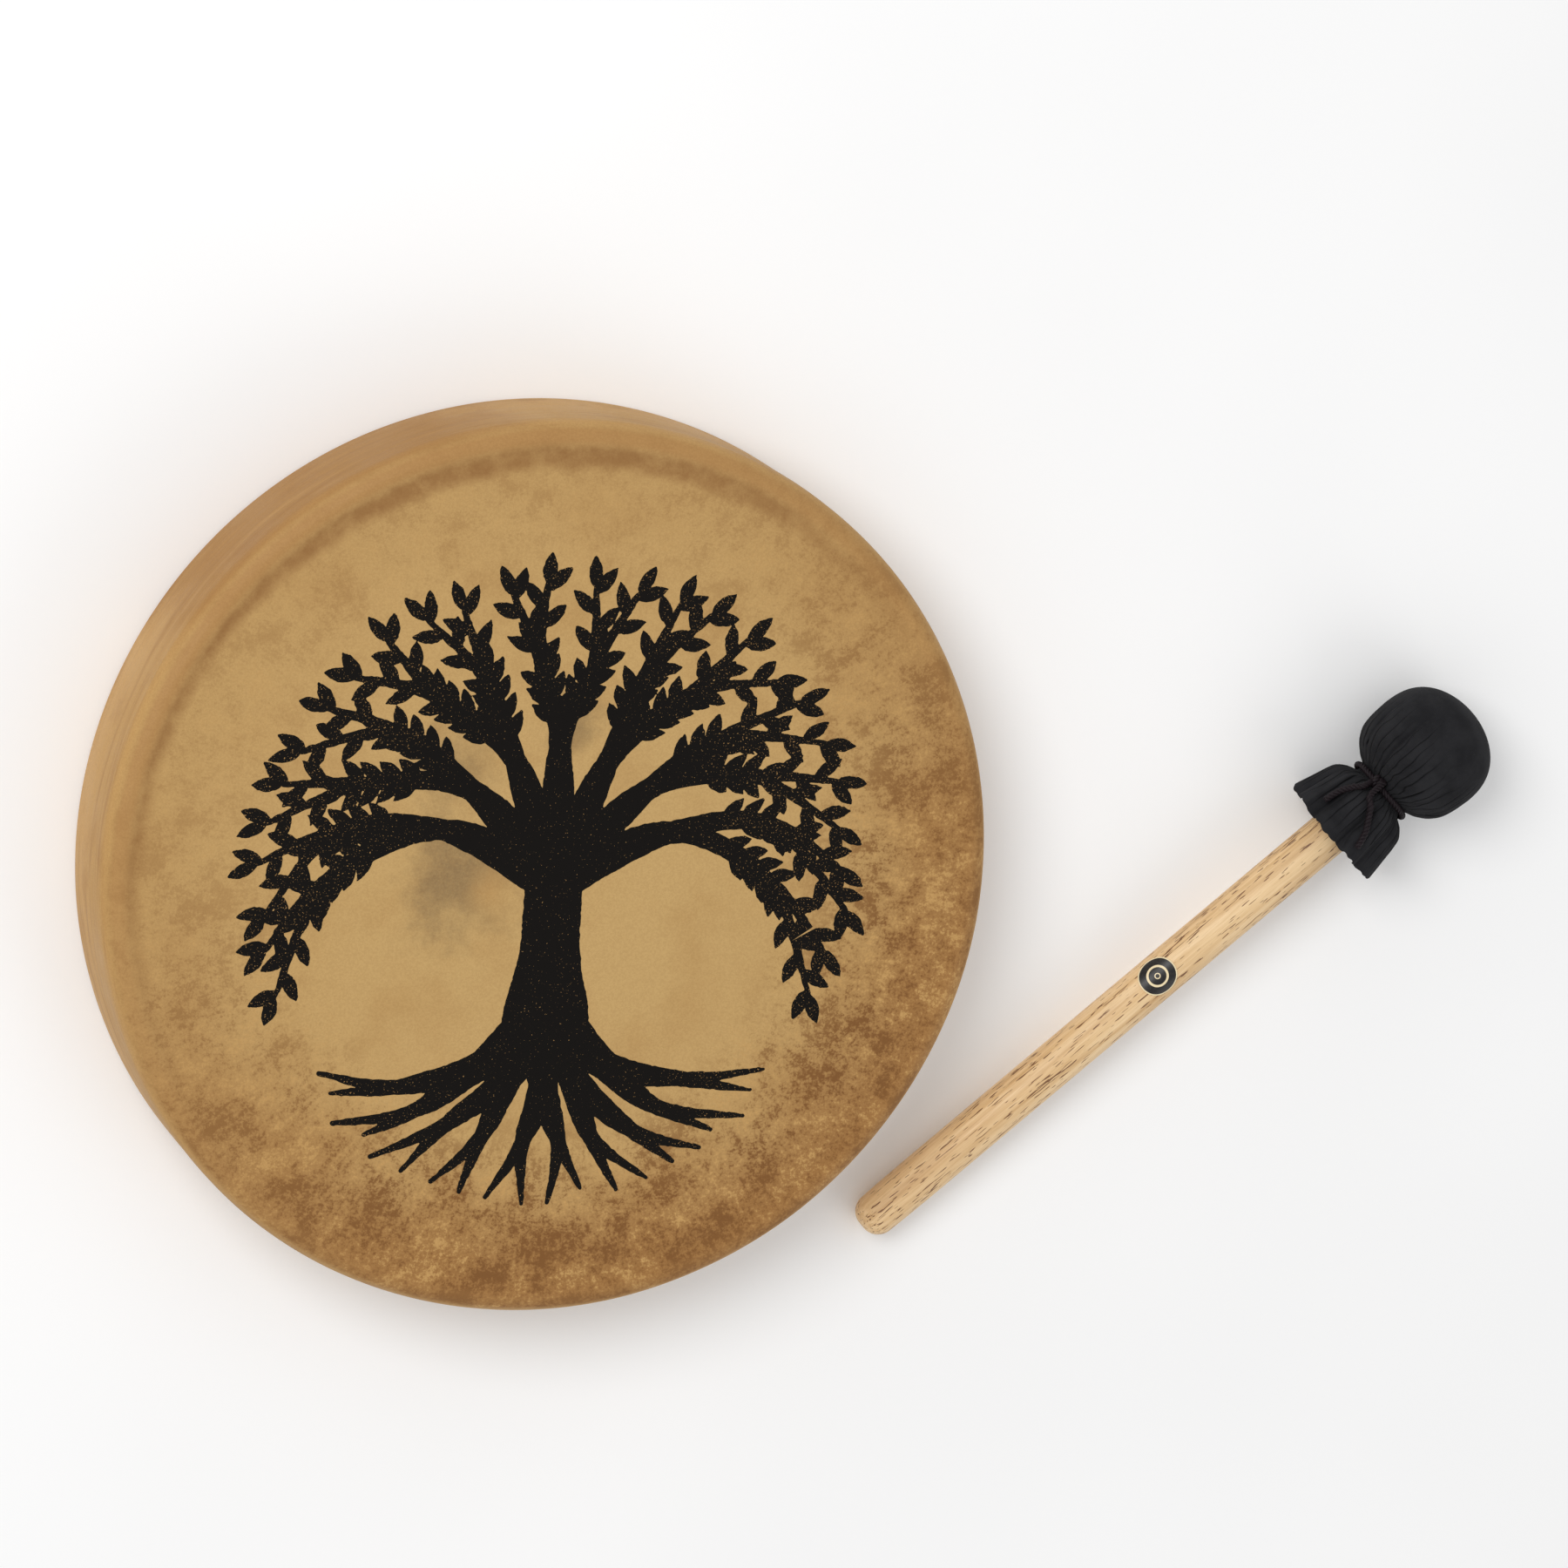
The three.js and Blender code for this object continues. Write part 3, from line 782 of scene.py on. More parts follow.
def grid_faces(rows: int, columns: int, wrap: bool = True) -> list[tuple[int, int, int, int]]:
    """Join rows of points with quads.

    Args:
        rows: how many rows there are.
        columns: how many points each has.
        wrap: whether each row closes on itself.

    Returns:
        The faces, which look outwards where rows go inwards over a dome.
    """
    faces = []
    for row in range(rows - 1):
        for column in range(columns if wrap else columns - 1):
            beside = (column + 1) % columns
            faces.append(
                (
                    row * columns + column,
                    (row + 1) * columns + column,
                    (row + 1) * columns + beside,
                    row * columns + beside,
                )
            )
    return faces


def turned_faces(rows: int, columns: int) -> list[tuple[int, ...]]:
    """Join the rows of a turned solid, from its foot to its top, and close both ends."""
    faces = [face[::-1] for face in grid_faces(rows, columns)]
    return faces + [tuple(range(columns))[::-1], tuple(range((rows - 1) * columns, rows * columns))]


def smooth_path(points: Sequence, spacing: float, closed: bool = False) -> np.ndarray:
    """Run a smooth line through points, at even steps.

    Args:
        points: the points, in millimetres.
        spacing: the length of a step.
        closed: whether the line comes back to its start.

    Returns:
        The points of the line.
    """
    knots = np.asarray([tuple(p) for p in points], float)
    ring = np.vstack([knots[-1:], knots, knots[:2]]) if closed else np.vstack([knots[:1], knots, knots[-1:]])
    dense = []
    t = np.linspace(0, 1, 12, endpoint=False)[:, None]
    for i in range(1, len(ring) - 2):
        a, b, c, d = ring[i - 1 : i + 3]
        square = (2 * a - 5 * b + 4 * c - d) * t**2
        cube = (3 * b - a - 3 * c + d) * t**3
        dense.append(0.5 * (2 * b + (c - a) * t + square + cube))
    line = np.vstack(dense + [ring[-2:-1]])
    steps = np.r_[0, np.cumsum(np.linalg.norm(np.diff(line, axis=0), axis=1))]
    count = max(4, round(steps[-1] / spacing))
    at = np.linspace(0, steps[-1], count, endpoint=not closed)
    return np.column_stack([np.interp(at, steps, line[:, k]) for k in range(line.shape[1])])


def tube(
    line: np.ndarray, radius: float, sides: int, closed: bool = False, first: int = 0
) -> tuple[list, list]:
    """Sweep a round section along a line.

    Args:
        line: the points that it follows.
        radius: the section's radius.
        sides: how many sides the section has.
        closed: whether its ends meet.
        first: the number of its first point in the whole mesh.

    Returns:
        Its points and its faces, with rounded ends on an open one.
    """
    count = len(line)
    ahead = np.roll(line, -1, axis=0) - np.roll(line, 1, axis=0)
    if not closed:
        ahead[0], ahead[-1] = line[1] - line[0], line[-1] - line[-2]
    ahead /= np.linalg.norm(ahead, axis=1)[:, None]
    side = np.cross(ahead[0], (0.0, 0.0, 1.0) if abs(ahead[0][2]) < 0.9 else (1.0, 0.0, 0.0))
    side /= np.linalg.norm(side)
    points = []
    turn = np.linspace(0, 2 * np.pi, sides, endpoint=False)
    for i in range(count):
        side = side - ahead[i] * (side @ ahead[i])
        side /= np.linalg.norm(side)
        up = np.cross(ahead[i], side)
        slim = 0.72 if not closed and i in (0, count - 1) else 1.0
        points += [line[i] + slim * radius * (math.cos(a) * side + math.sin(a) * up) for a in turn]
    faces = []
    for row in range(count if closed else count - 1):
        below = (row + 1) % count
        for k in range(sides):
            beside = (k + 1) % sides
            corners = (row * sides + k, row * sides + beside, below * sides + beside, below * sides + k)
            faces.append([first + n for n in corners])
    if not closed:
        start, end = len(points), len(points) + 1
        points += [line[0] - ahead[0] * radius * 0.4, line[-1] + ahead[-1] * radius * 0.4]
        for k in range(sides):
            beside = (k + 1) % sides
            faces.append([first + n for n in (start, beside, k)])
            last = (count - 1) * sides
            faces.append([first + n for n in (end, last + k, last + beside)])
    return points, faces


@dataclass(frozen=True)
class PliedCord:
    """A cord of plies that twist round each other."""

    diameter: float
    plies: int = 3
    pitch: float = 9.0  # length of one full turn
    step: float = 1.1
    sides: int = 7

    def strands(self, points: Sequence, closed: bool = False, first: int = 0) -> tuple[list, list]:
        """Twist the cord's plies along a path.

        Args:
            points: the path's points.
            closed: whether it comes back to its start.
            first: the number of its first point in the whole mesh.

        Returns:
            The points and faces of all its plies.
        """
        line = smooth_path(points, self.step, closed)
        count = len(line)
        ahead = np.gradient(line, axis=0)
        if closed:
            ahead = np.roll(line, -1, axis=0) - np.roll(line, 1, axis=0)
        ahead /= np.linalg.norm(ahead, axis=1)[:, None]
        side = np.cross(ahead[0], (0.0, 0.0, 1.0) if abs(ahead[0][2]) < 0.9 else (1.0, 0.0, 0.0))
        across, upward = [], []
        for along in ahead:
            side = side - along * (side @ along)
            side /= np.linalg.norm(side)
            across.append(side)
            upward.append(np.cross(along, side))
        across, upward = np.array(across), np.array(upward)
        length = count * self.step
        turns = max(1, round(length / self.pitch)) if closed else length / self.pitch
        share = np.arange(count) / count
        ply = self.diameter / 2 / (1 + 1 / math.sin(math.pi / self.plies)) * 1.12
        offset = self.diameter / 2 - ply
        points_out, faces_out = [], []
        for k in range(self.plies):
            angle = 2 * np.pi * (turns * share + k / self.plies)
            centre = line + offset * (np.cos(angle)[:, None] * across + np.sin(angle)[:, None] * upward)
            more_points, more_faces = tube(centre, ply, self.sides, closed, first + len(points_out))
            points_out += more_points
            faces_out += more_faces
        return points_out, faces_out


def ripple(x: float, y: float, z: float, size: float, seed: float = 0.0) -> float:
    """Smooth noise from -1 to 1 at a place in millimetres, with spots of a size."""
    return noise.noise(Vector((x / size + seed, y / size - seed, z / size + 2 * seed)))


def drum_centre() -> Vector:
    """The middle of the drum's foot."""
    low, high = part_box("skin_side")
    return Vector(((low.x + high.x) / 2, (low.y + high.y) / 2, 0.0))


# ---- Camera, floor and lights ----


@dataclass(frozen=True)
class Studio:
    """The camera over the set, a pale floor and soft light, in metres from the drum's foot."""

    eye: tuple[float, float, float] = (-0.8892, 0.7403, 3.1070)
    ahead: tuple[float, float, float] = (0.30081, -0.21408, -0.92935)
    up: tuple[float, float, float] = (0.0, 0.97448, -0.22448)
    lens: float = 180.0  # mm
    sensor: float = 36.0  # mm
    floor_side: float = 9.0
    sky: float = 0.62
    key_power: float = 36.0
    fill_power: float = 9.0

    def build_camera(self) -> None:
        """Set up the camera, looking down from the upper left."""
        data = bpy.data.cameras.new("camera")
        data.lens, data.sensor_width = self.lens, self.sensor
        data.clip_start, data.clip_end = 0.05, 60.0
        camera = bpy.data.objects.new("camera", data)
        ahead = Vector(self.ahead).normalized()
        right = ahead.cross(Vector(self.up)).normalized()
        turned = Matrix((right, right.cross(ahead), -ahead)).transposed().to_4x4()
        camera.matrix_world = Matrix.Translation(drum_centre() + Vector(self.eye)) @ turned
        bpy.context.scene.collection.objects.link(camera)
        bpy.context.scene.camera = camera

    def build_floor(self) -> None:
        """Lay the floor under everything."""
        half = self.floor_side / 2 / MM
        steps = np.linspace(-half, half, 7)
        points = [(x, y, -0.05) for x in steps for y in steps]
        floor = new_piece("floor", points, grid_faces(7, 7, wrap=False), PaperSweep().make(), smooth=False)

    def lamp(self, name: str, place: tuple[float, float, float], side: float, power: float) -> None:
        """Hang one soft box that looks at the set."""
        data = bpy.data.lights.new(name, "AREA")
        data.shape, data.size, data.energy = "DISK", side, power
        lamp = bpy.data.objects.new(name, data)
        lamp.location = place
        lamp.rotation_mode = "QUATERNION"
        lamp.rotation_quaternion = (-Vector(place)).to_track_quat("-Z", "Y")
        bpy.context.scene.collection.objects.link(lamp)

    def build_lights(self) -> None:
        """Set the sky and the soft boxes."""
        world = bpy.data.worlds.new("studio")
        world.use_nodes = True
        sky = next(n for n in world.node_tree.nodes if n.type == "BACKGROUND")
        sky.inputs["Color"].default_value = (1.0, 1.0, 1.0, 1.0)
        sky.inputs["Strength"].default_value = self.sky
        bpy.context.scene.world = world
        self.lamp("key_box", (-1.5, 1.1, 2.2), 1.5, self.key_power)
        self.lamp("fill_box", (1.8, -1.6, 1.9), 1.8, self.fill_power)
        view = bpy.context.scene.view_settings
        view.view_transform, view.look = "Standard", "None"

    def build(self) -> None:
        """Set up everything that isn't the object."""
        self.build_camera()
        self.build_floor()
        self.build_lights()
        log.info("studio ready")


# ---- Drum ----


@dataclass
class Hide:
    """The goat skin: one piece from the head, over the hoop, to the laced edge under it."""

    radius: float = 190.5
    depth: float = 59.0
    thickness: float = 1.1
    shoulder: float = 8.5
    heel: float = 4.5
    foot_inner: float = 179.0
    lip_radius: float = 150.0
    lip_height: float = 6.0
    hole_circle: float = 160.0
    hole_radius: float = 2.2
    holes: int = 16
    segments: int = 480
    ridge: float = 0.45  # how far the hide stands up over the hoop's edge
    groove: float = 0.35  # how far it sinks just inside it

    def profile(self) -> list[tuple[float, float, float]]:
        """The rows from the head's middle to the lip.

        Returns:
            Radius, height and how far the row may swell, for each row.
        """
        rows = [(r, self.depth, 0.0) for r in np.r_[np.arange(8, 168, 10), np.arange(168, 182, 1.75)]]
        bend, drop = self.radius - self.shoulder, self.depth - self.shoulder
        for angle in np.linspace(90, 0, 12):
            a = math.radians(angle)
            height = drop + self.shoulder * math.sin(a)
            rows.append((bend + self.shoulder * math.cos(a), height, 1 - angle / 90))
        rows += [(self.radius, z, 1.0) for z in np.linspace(drop, self.heel, 16)[1:-1]]
        bend = self.radius - self.heel
        for angle in np.linspace(0, -90, 9):
            a = math.radians(angle)
            height = self.heel + self.heel * math.sin(a)
            rows.append((bend + self.heel * math.cos(a), height, 1 + angle / 90))
        rows += [(r, 0.0, 0.0) for r in (183.8, 181.4, self.foot_inner)]
        above = np.linspace(self.foot_inner, self.hole_circle + 6.3, 6)[1:]
        around_hole = self.hole_circle + 2.1 * np.array([2, 1, 0, -1, -2])
        below = np.linspace(self.hole_circle - 6.1, self.lip_radius, 3)
        rise = self.lip_height / (self.foot_inner - self.lip_radius)
        rows += [(r, (self.foot_inner - r) * rise, 0.0) for r in np.r_[above, around_hole, below]]
        return rows

    def swell(self, angle: float, height: float) -> float:
        """How far the wall stands out: a little out of round, with wrinkles drawn round it."""
        x, y = 60 * math.cos(angle), 60 * math.sin(angle)
        round_error = 0.5 - 0.5 * math.cos(angle - math.radians(52)) + 0.35 * ripple(x, y, 0, 34, 3.1)
        wrinkles = ripple(x * 0.9, y * 0.9, height * 3.2, 15, 1.7)
        return max(0.0, 0.75 * round_error) + 0.28 * max(0.0, wrinkles) * (0.35 + 0.65 * height / self.depth)

    def head_height(self, radius: float, angle: float) -> float:
        """How far the head departs from flat near its rim."""
        x, y = 40 * math.cos(angle), 40 * math.sin(angle)
        wander = 1.4 * ripple(x, y, 0, 26, 5.3)
        crest = math.exp(-(((radius - 184.5 - wander) / 3.0) ** 2))
        valley = math.exp(-(((radius - 177.0 - wander) / 3.2) ** 2))
        return self.ridge * crest * (0.8 + 0.4 * ripple(x, y, 0, 11, 2.2)) - self.groove * valley

    def lip_shift(self, angle: float) -> float:
        """How far the lip is drawn towards the middle at a lace hole, and out between holes."""
        spread = math.cos(self.holes * (angle - math.pi / self.holes))
        return -0.9 * spread + 1.2 * ripple(70 * math.cos(angle), 70 * math.sin(angle), 0, 13, 6.1)

    def build(self, material: bpy.types.Material, place: Matrix) -> bpy.types.Object:
        """Make the hide and cut its lace holes.

        Args:
            material: the hide's finish.
            place: the drum's own frame.

        Returns:
            The hide.
        """
        rows = self.profile()
        turn = [2 * math.pi * k / self.segments for k in range(self.segments)]
        points = []
        for radius, height, swelling in rows:
            under = height <= self.lip_height + 0.01 and radius < self.foot_inner
            for angle in turn:
                r, z = radius, height
                if swelling > 0:
                    r += swelling * self.swell(angle, height)
                if height > self.depth - self.shoulder and radius > 165:
                    z += self.head_height(radius, angle)
                if under and radius < self.hole_circle - 5:
                    r += self.lip_shift(angle) * (self.hole_circle - 5 - radius) / 5
                points.append((r * math.cos(angle), r * math.sin(angle), z))
        middle = len(points)
        points.append((0.0, 0.0, self.depth))
        faces = grid_faces(len(rows), self.segments)
        faces += [(middle, k, (k + 1) % self.segments) for k in range(self.segments)]
        hole_row = min(range(len(rows)), key=lambda i: abs(rows[i][0] - self.hole_circle))
        cut = self.punch(points, hole_row)
        faces = [f for f in faces if not cut.intersection(f)]
        hide = new_piece("goat_hide", points, faces, material, place)
        self.drop_loose(hide)
        thicken(hide, self.thickness)
        return outfit(hide, Body.DRUM, Slot.HIDE, "skin_head", "skin_side", "skin_back")

    def punch(self, points: list, hole_row: int) -> set[int]:
        """Round the points about each lace hole.

        Args:
            points: the hide's points, which are moved.
            hole_row: the row that runs through the holes' middles.

        Returns:
            The numbers of the points in the holes' middles.
        """
        middles = set()
        pitch = self.segments // self.holes
        for k in range(self.holes):
            column = k * pitch + pitch // 2
            middle = hole_row * self.segments + column
            middles.add(middle)
            centre = np.array(points[middle])
            for row in (-1, 0, 1):
                for side in (-1, 0, 1):
                    if row or side:
                        number = (hole_row + row) * self.segments + (column + side) % self.segments
                        away = np.array(points[number]) - centre
                        points[number] = tuple(centre + away / np.linalg.norm(away) * self.hole_radius)
        return middles

    def drop_loose(self, piece: bpy.types.Object) -> None:
        """Delete points that no face uses."""
        work = bmesh.new()
        work.from_mesh(piece.data)
        bmesh.ops.delete(work, geom=[v for v in work.verts if not v.link_faces], context="VERTS")
        bmesh.ops.recalc_face_normals(work, faces=work.faces)
        work.to_mesh(piece.data)
        work.free()
        piece.data.shade_smooth()


@dataclass(frozen=True)
class Fan:
    """Shoots that leave one place and fork evenly, for the crown or the roots of the printed tree."""

    start: tuple[float, float]
    facing: float  # degrees from +X
    spread: float  # degrees from its first tip to its last
    limbs: int  # shoots that leave the start
    tiers: tuple[float, ...]  # how far out each fork lies, and then the tips
    widths: tuple[float, ...]  # of the ink at the start, at each fork and at the tips
    wide: float = 1.0  # how much wider than high it is


@dataclass
class TreePrint:
    """A plain tree, grown by rule: even boughs with pointed leaves, and forked roots."""

    head_height: float = 59.0
    lift: float = 0.03  # over the hide
    ink: float = 0.07  # thickness of the ink
    cell: float = 0.5  # spacing of the grid that the print is drawn on
    half: float = 160.0  # half the grid's side
    ragged: float = 0.35  # how rough the ink's edge is
    seed: int = 4
    arch: float = 0.17  # how much more each tier opens than the one inside it
    stray_angle: float = 1.1  # degrees that a fork strays from its even place
    stray_reach: float = 3.0  # mm that it strays outwards
    leaf_length: float = 14.5
    leaf_width: float = 0.42  # share of its length
    leaf_spread: float = 42.0  # degrees between a leaf and its shoot
    leaf_step: int = 4  # steps of 2 mm between leaves
    crown: Fan = Fan((0.0, -4.0), 90.0, 232.0, 7, (56.0, 94.0, 126.0), (19.0, 9.5, 6.0, 2.6))
    roots: Fan = Fan((0.0, -58.0), -90.0, 150.0, 5, (32.0, 58.0, 82.0), (24.0, 13.0, 7.0, 2.0), 1.28)
    trunk: tuple[Row, ...] = ((0, 16, 24), (0, -10, 25), (0, -36, 27), (0, -62, 38))

    def grow(self, fan: Fan, chance: random.Random) -> list[list[Row]]:
        """Grow a fan whose shoots fork in two at each tier.

        Args:
            fan: the fan.
            chance: the print's own source of small differences.

        Returns:
            The points and widths from the start to each tip.
        """
        rows = [[(*fan.start, fan.widths[0])] for _ in range(fan.limbs)]
        last = len(fan.tiers) - 1
        for tier, (reach, width) in enumerate(zip(fan.tiers, fan.widths[1:])):
            if tier:
                rows = [list(row) for row in rows for _ in range(2)]
            spread = fan.spread * (1 - self.arch * (last - tier))
            for number, row in enumerate(rows):
                share = (number + 0.5) / len(rows) - 0.5
                angle = math.radians(fan.facing - share * spread + chance.uniform(-1, 1) * self.stray_angle)
                away = reach + chance.uniform(-1, 1) * self.stray_reach
                x = fan.start[0] + fan.wide * away * math.cos(angle)
                row.append((x, fan.start[1] + away * math.sin(angle), width))
        return rows

    def leaf(self, x: float, y: float, heading: float) -> list[Row]:
        """One leaf as a stroke: a thin stalk and a pointed blade."""
        row = []
        for share in np.linspace(0, 1, 11):
            reach = self.leaf_length * share
            blade = self.leaf_width * self.leaf_length * math.sin(math.pi * share**0.9)
            width = max(blade, 1.4 * (1 - share))
            row.append((x + reach * math.cos(heading), y + reach * math.sin(heading), width))
        return row

    def foliage(self, rows: list[list[Row]]) -> list[list[Row]]:
        """Set leaves along the crown's shoots.

        Args:
            rows: the shoots, from the trunk to each tip.

        Returns:
            The points and widths of each leaf.
        """
        leaves = []
        spread = math.radians(self.leaf_spread)
        for number, row in enumerate(rows):
            line = smooth_path(row, 2.0)
            outer = 1 if number % 2 == 0 else -1
            for k, i in enumerate(range(len(line) - 2, len(line) // 2, -self.leaf_step)):
                ahead = line[i + 1] - line[i - 1]
                heading = math.atan2(ahead[1], ahead[0])
                forked = i > len(line) * 0.7
                side = (1 if k % 2 else -1) if forked else outer
                leaves.append(self.leaf(line[i][0], line[i][1], heading + side * spread))
            end = line[-1] - line[-3]
            leaves.append(self.leaf(line[-1][0], line[-1][1], math.atan2(end[1], end[0])))
        return leaves

    def drawn_on(self, ink: np.ndarray, row: np.ndarray) -> np.ndarray:
        """How deep each grid place lies inside a stroke.

        Args:
            ink: the print so far, or a blank grid.
            row: the stroke's points and widths.

        Returns:
            The grid with the stroke added.
        """
        for (ax, ay, aw), (bx, by, bw) in zip(row[:-1], row[1:]):
            reach = max(aw, bw) / 2 + 2.5
            low = [math.floor((min(a, b) - reach + self.half) / self.cell) for a, b in ((ax, bx), (ay, by))]
            high = [math.ceil((max(a, b) + reach + self.half) / self.cell) for a, b in ((ax, bx), (ay, by))]
            columns = np.arange(max(low[0], 0), min(high[0] + 1, ink.shape[1]))
            lines = np.arange(max(low[1], 0), min(high[1] + 1, ink.shape[0]))
            if not len(columns) or not len(lines):
                continue
            x = (columns * self.cell - self.half)[None, :]
            y = (lines * self.cell - self.half)[:, None]
            dx, dy = bx - ax, by - ay
            share = np.clip(((x - ax) * dx + (y - ay) * dy) / (dx * dx + dy * dy + 1e-9), 0, 1)
            away = np.hypot(x - ax - share * dx, y - ay - share * dy)
            depth = (aw + (bw - aw) * share) / 2 - away
            window = ink[lines[0] : lines[-1] + 1, columns[0] : columns[-1] + 1]
            np.maximum(window, depth, out=window)
        return ink

    def soft_grid(self, size: float, seed: int) -> np.ndarray:
        """Smooth noise from about -1 to 1 over the grid, with spots of a size."""
        count = round(2 * self.half / self.cell) + 1
        coarse = round(2 * self.half / size) + 3
        values = np.random.default_rng(seed).uniform(-1, 1, (coarse, coarse))
        at = np.arange(count) * self.cell / size
        low = at.astype(int)
        share = at - low
        share = share * share * (3 - 2 * share)
        rows = values[low] * (1 - share)[:, None] + values[low + 1] * share[:, None]
        return rows[:, low] * (1 - share) + rows[:, low + 1] * share

    def draw(self) -> np.ndarray:
        """Draw the whole print on the grid.

        Returns:
            A grid that is above 0 where there is ink.
        """
        count = round(2 * self.half / self.cell) + 1
        chance = random.Random(self.seed)
        ink = self.drawn_on(np.full((count, count), -9.0), smooth_path(self.trunk, 2.0))
        crown = self.grow(self.crown, chance)
        for row in crown + self.grow(self.roots, chance):
            ink = self.drawn_on(ink, smooth_path(row, 2.0))
        for row in self.foliage(crown):
            ink = self.drawn_on(ink, np.array(row))
        rough = 0.6 * self.soft_grid(1.3, 11) + 0.5 * self.soft_grid(3.1, 12) + 0.5 * self.soft_grid(9.0, 13)
        return ink + self.ragged * rough - 0.1

    def outlines(self, ink: np.ndarray) -> list[list[tuple[float, float]]]:
        """Follow the ink's edge.

        Args:
            ink: the grid from draw.

        Returns:
            The closed loops of points along the edge.
        """
        inside = ink > 0
        crossings: dict[tuple, tuple[float, float]] = {}
        joins: dict[tuple, list[tuple]] = {}

        def crossing(r: int, c: int, down: bool) -> tuple:
            """Find where the edge crosses a grid line, and name that place."""
            key = (r, c, down)
            if key not in crossings:
                a = ink[r, c]
                b = ink[r + 1, c] if down else ink[r, c + 1]
                share = min(max(a / (a - b), 0.03), 0.97)
                x, y = (c, r + share) if down else (c + share, r)
                crossings[key] = (x * self.cell - self.half, y * self.cell - self.half)
            return key

        total = (inside[:-1, :-1] * 1 + inside[:-1, 1:] + inside[1:, 1:] + inside[1:, :-1])
        for r, c in np.argwhere((total > 0) & (total < 4)):
            corners = [inside[r, c], inside[r, c + 1], inside[r + 1, c + 1], inside[r + 1, c]]
            sides = [(r, c, False), (r, c + 1, True), (r + 1, c, False), (r, c, True)]
            crossed = [side for k, side in enumerate(sides) if corners[k] != corners[(k + 1) % 4]]
            cut = [crossing(int(line), int(place), down) for line, place, down in crossed]
            pairs = [(cut[0], cut[1])] if len(cut) == 2 else [(cut[0], cut[3]), (cut[1], cut[2])]
            if len(cut) == 4 and (ink[r : r + 2, c : c + 2].mean() > 0) == bool(corners[0]):
                pairs = [(cut[0], cut[1]), (cut[2], cut[3])]
            for a, b in pairs:
                joins.setdefault(a, []).append(b)
                joins.setdefault(b, []).append(a)
        loops = []
        while joins:
            start = next(iter(joins))
            loop, here = [start], start
            while True:
                onward = joins.pop(here)
                there = next((k for k in onward if k in joins), None)
                if there is None:
                    break
                loop.append(there)
                here = there
            if len(loop) > 7:
                loops.append([crossings[k] for k in loop])
        return loops

    def fewer(self, loop: list[tuple[float, float]], tolerance: float = 0.035) -> list[tuple[float, float]]:
        """Drop the points of a loop that lie on a line between their neighbours."""
        for _ in range(2):
            kept = []
            for i, point in enumerate(loop):
                before = kept[-1] if kept else loop[-1]
                after = loop[(i + 1) % len(loop)]
                dx, dy = after[0] - before[0], after[1] - before[1]
                length = math.hypot(dx, dy) or 1.0
                off = abs((point[0] - before[0]) * dy - (point[1] - before[1]) * dx) / length
                if off > tolerance or length > 6:
                    kept.append(point)
            loop = kept
        return loop

    def build(self, material: bpy.types.Material, place: Matrix) -> bpy.types.Object:
        """Make the print as a thin layer of ink on the head.

        Args:
            material: the ink.
            place: the drum's own frame.

        Returns:
            The print.
        """
        ink = self.draw()
        corners, edges = [], []
        for loop in self.outlines(ink):
            loop = self.fewer(loop)
            if len(loop) < 5:
                continue
            first = len(corners)
            corners += [Vector(p) for p in loop]
            edges += [(first + i, first + (i + 1) % len(loop)) for i in range(len(loop))]
        flat, _, triangles, *_ = delaunay_2d_cdt(corners, edges, [], 0, 1e-4)
        kept = []
        for triangle in triangles:
            x = sum(flat[k].x for k in triangle) / 3
            y = sum(flat[k].y for k in triangle) / 3
            column, row = (x + self.half) / self.cell, (y + self.half) / self.cell
            c, r = int(column), int(row)
            u, v = column - c, row - r
            near = ink[r, c] * (1 - u) + ink[r, c + 1] * u
            far = ink[r + 1, c] * (1 - u) + ink[r + 1, c + 1] * u
            depth = near * (1 - v) + far * v
            if depth > 0:
                kept.append(triangle)
        height = self.head_height + self.lift
        points = [(p.x, p.y, height) for p in flat]
        sheet = new_piece("tree_print", points, kept, material, place, smooth=False)
        work = bmesh.new()
        work.from_mesh(sheet.data)
        bmesh.ops.delete(work, geom=[v for v in work.verts if not v.link_faces], context="VERTS")
        work.normal_update()
        if sum(f.normal.z * f.calc_area() for f in work.faces) < 0:
            bmesh.ops.reverse_faces(work, faces=work.faces)
        work.to_mesh(sheet.data)
        work.free()
        thicken(sheet, self.ink, outward=True)
        return outfit(sheet, Body.DRUM, Slot.HIDE)


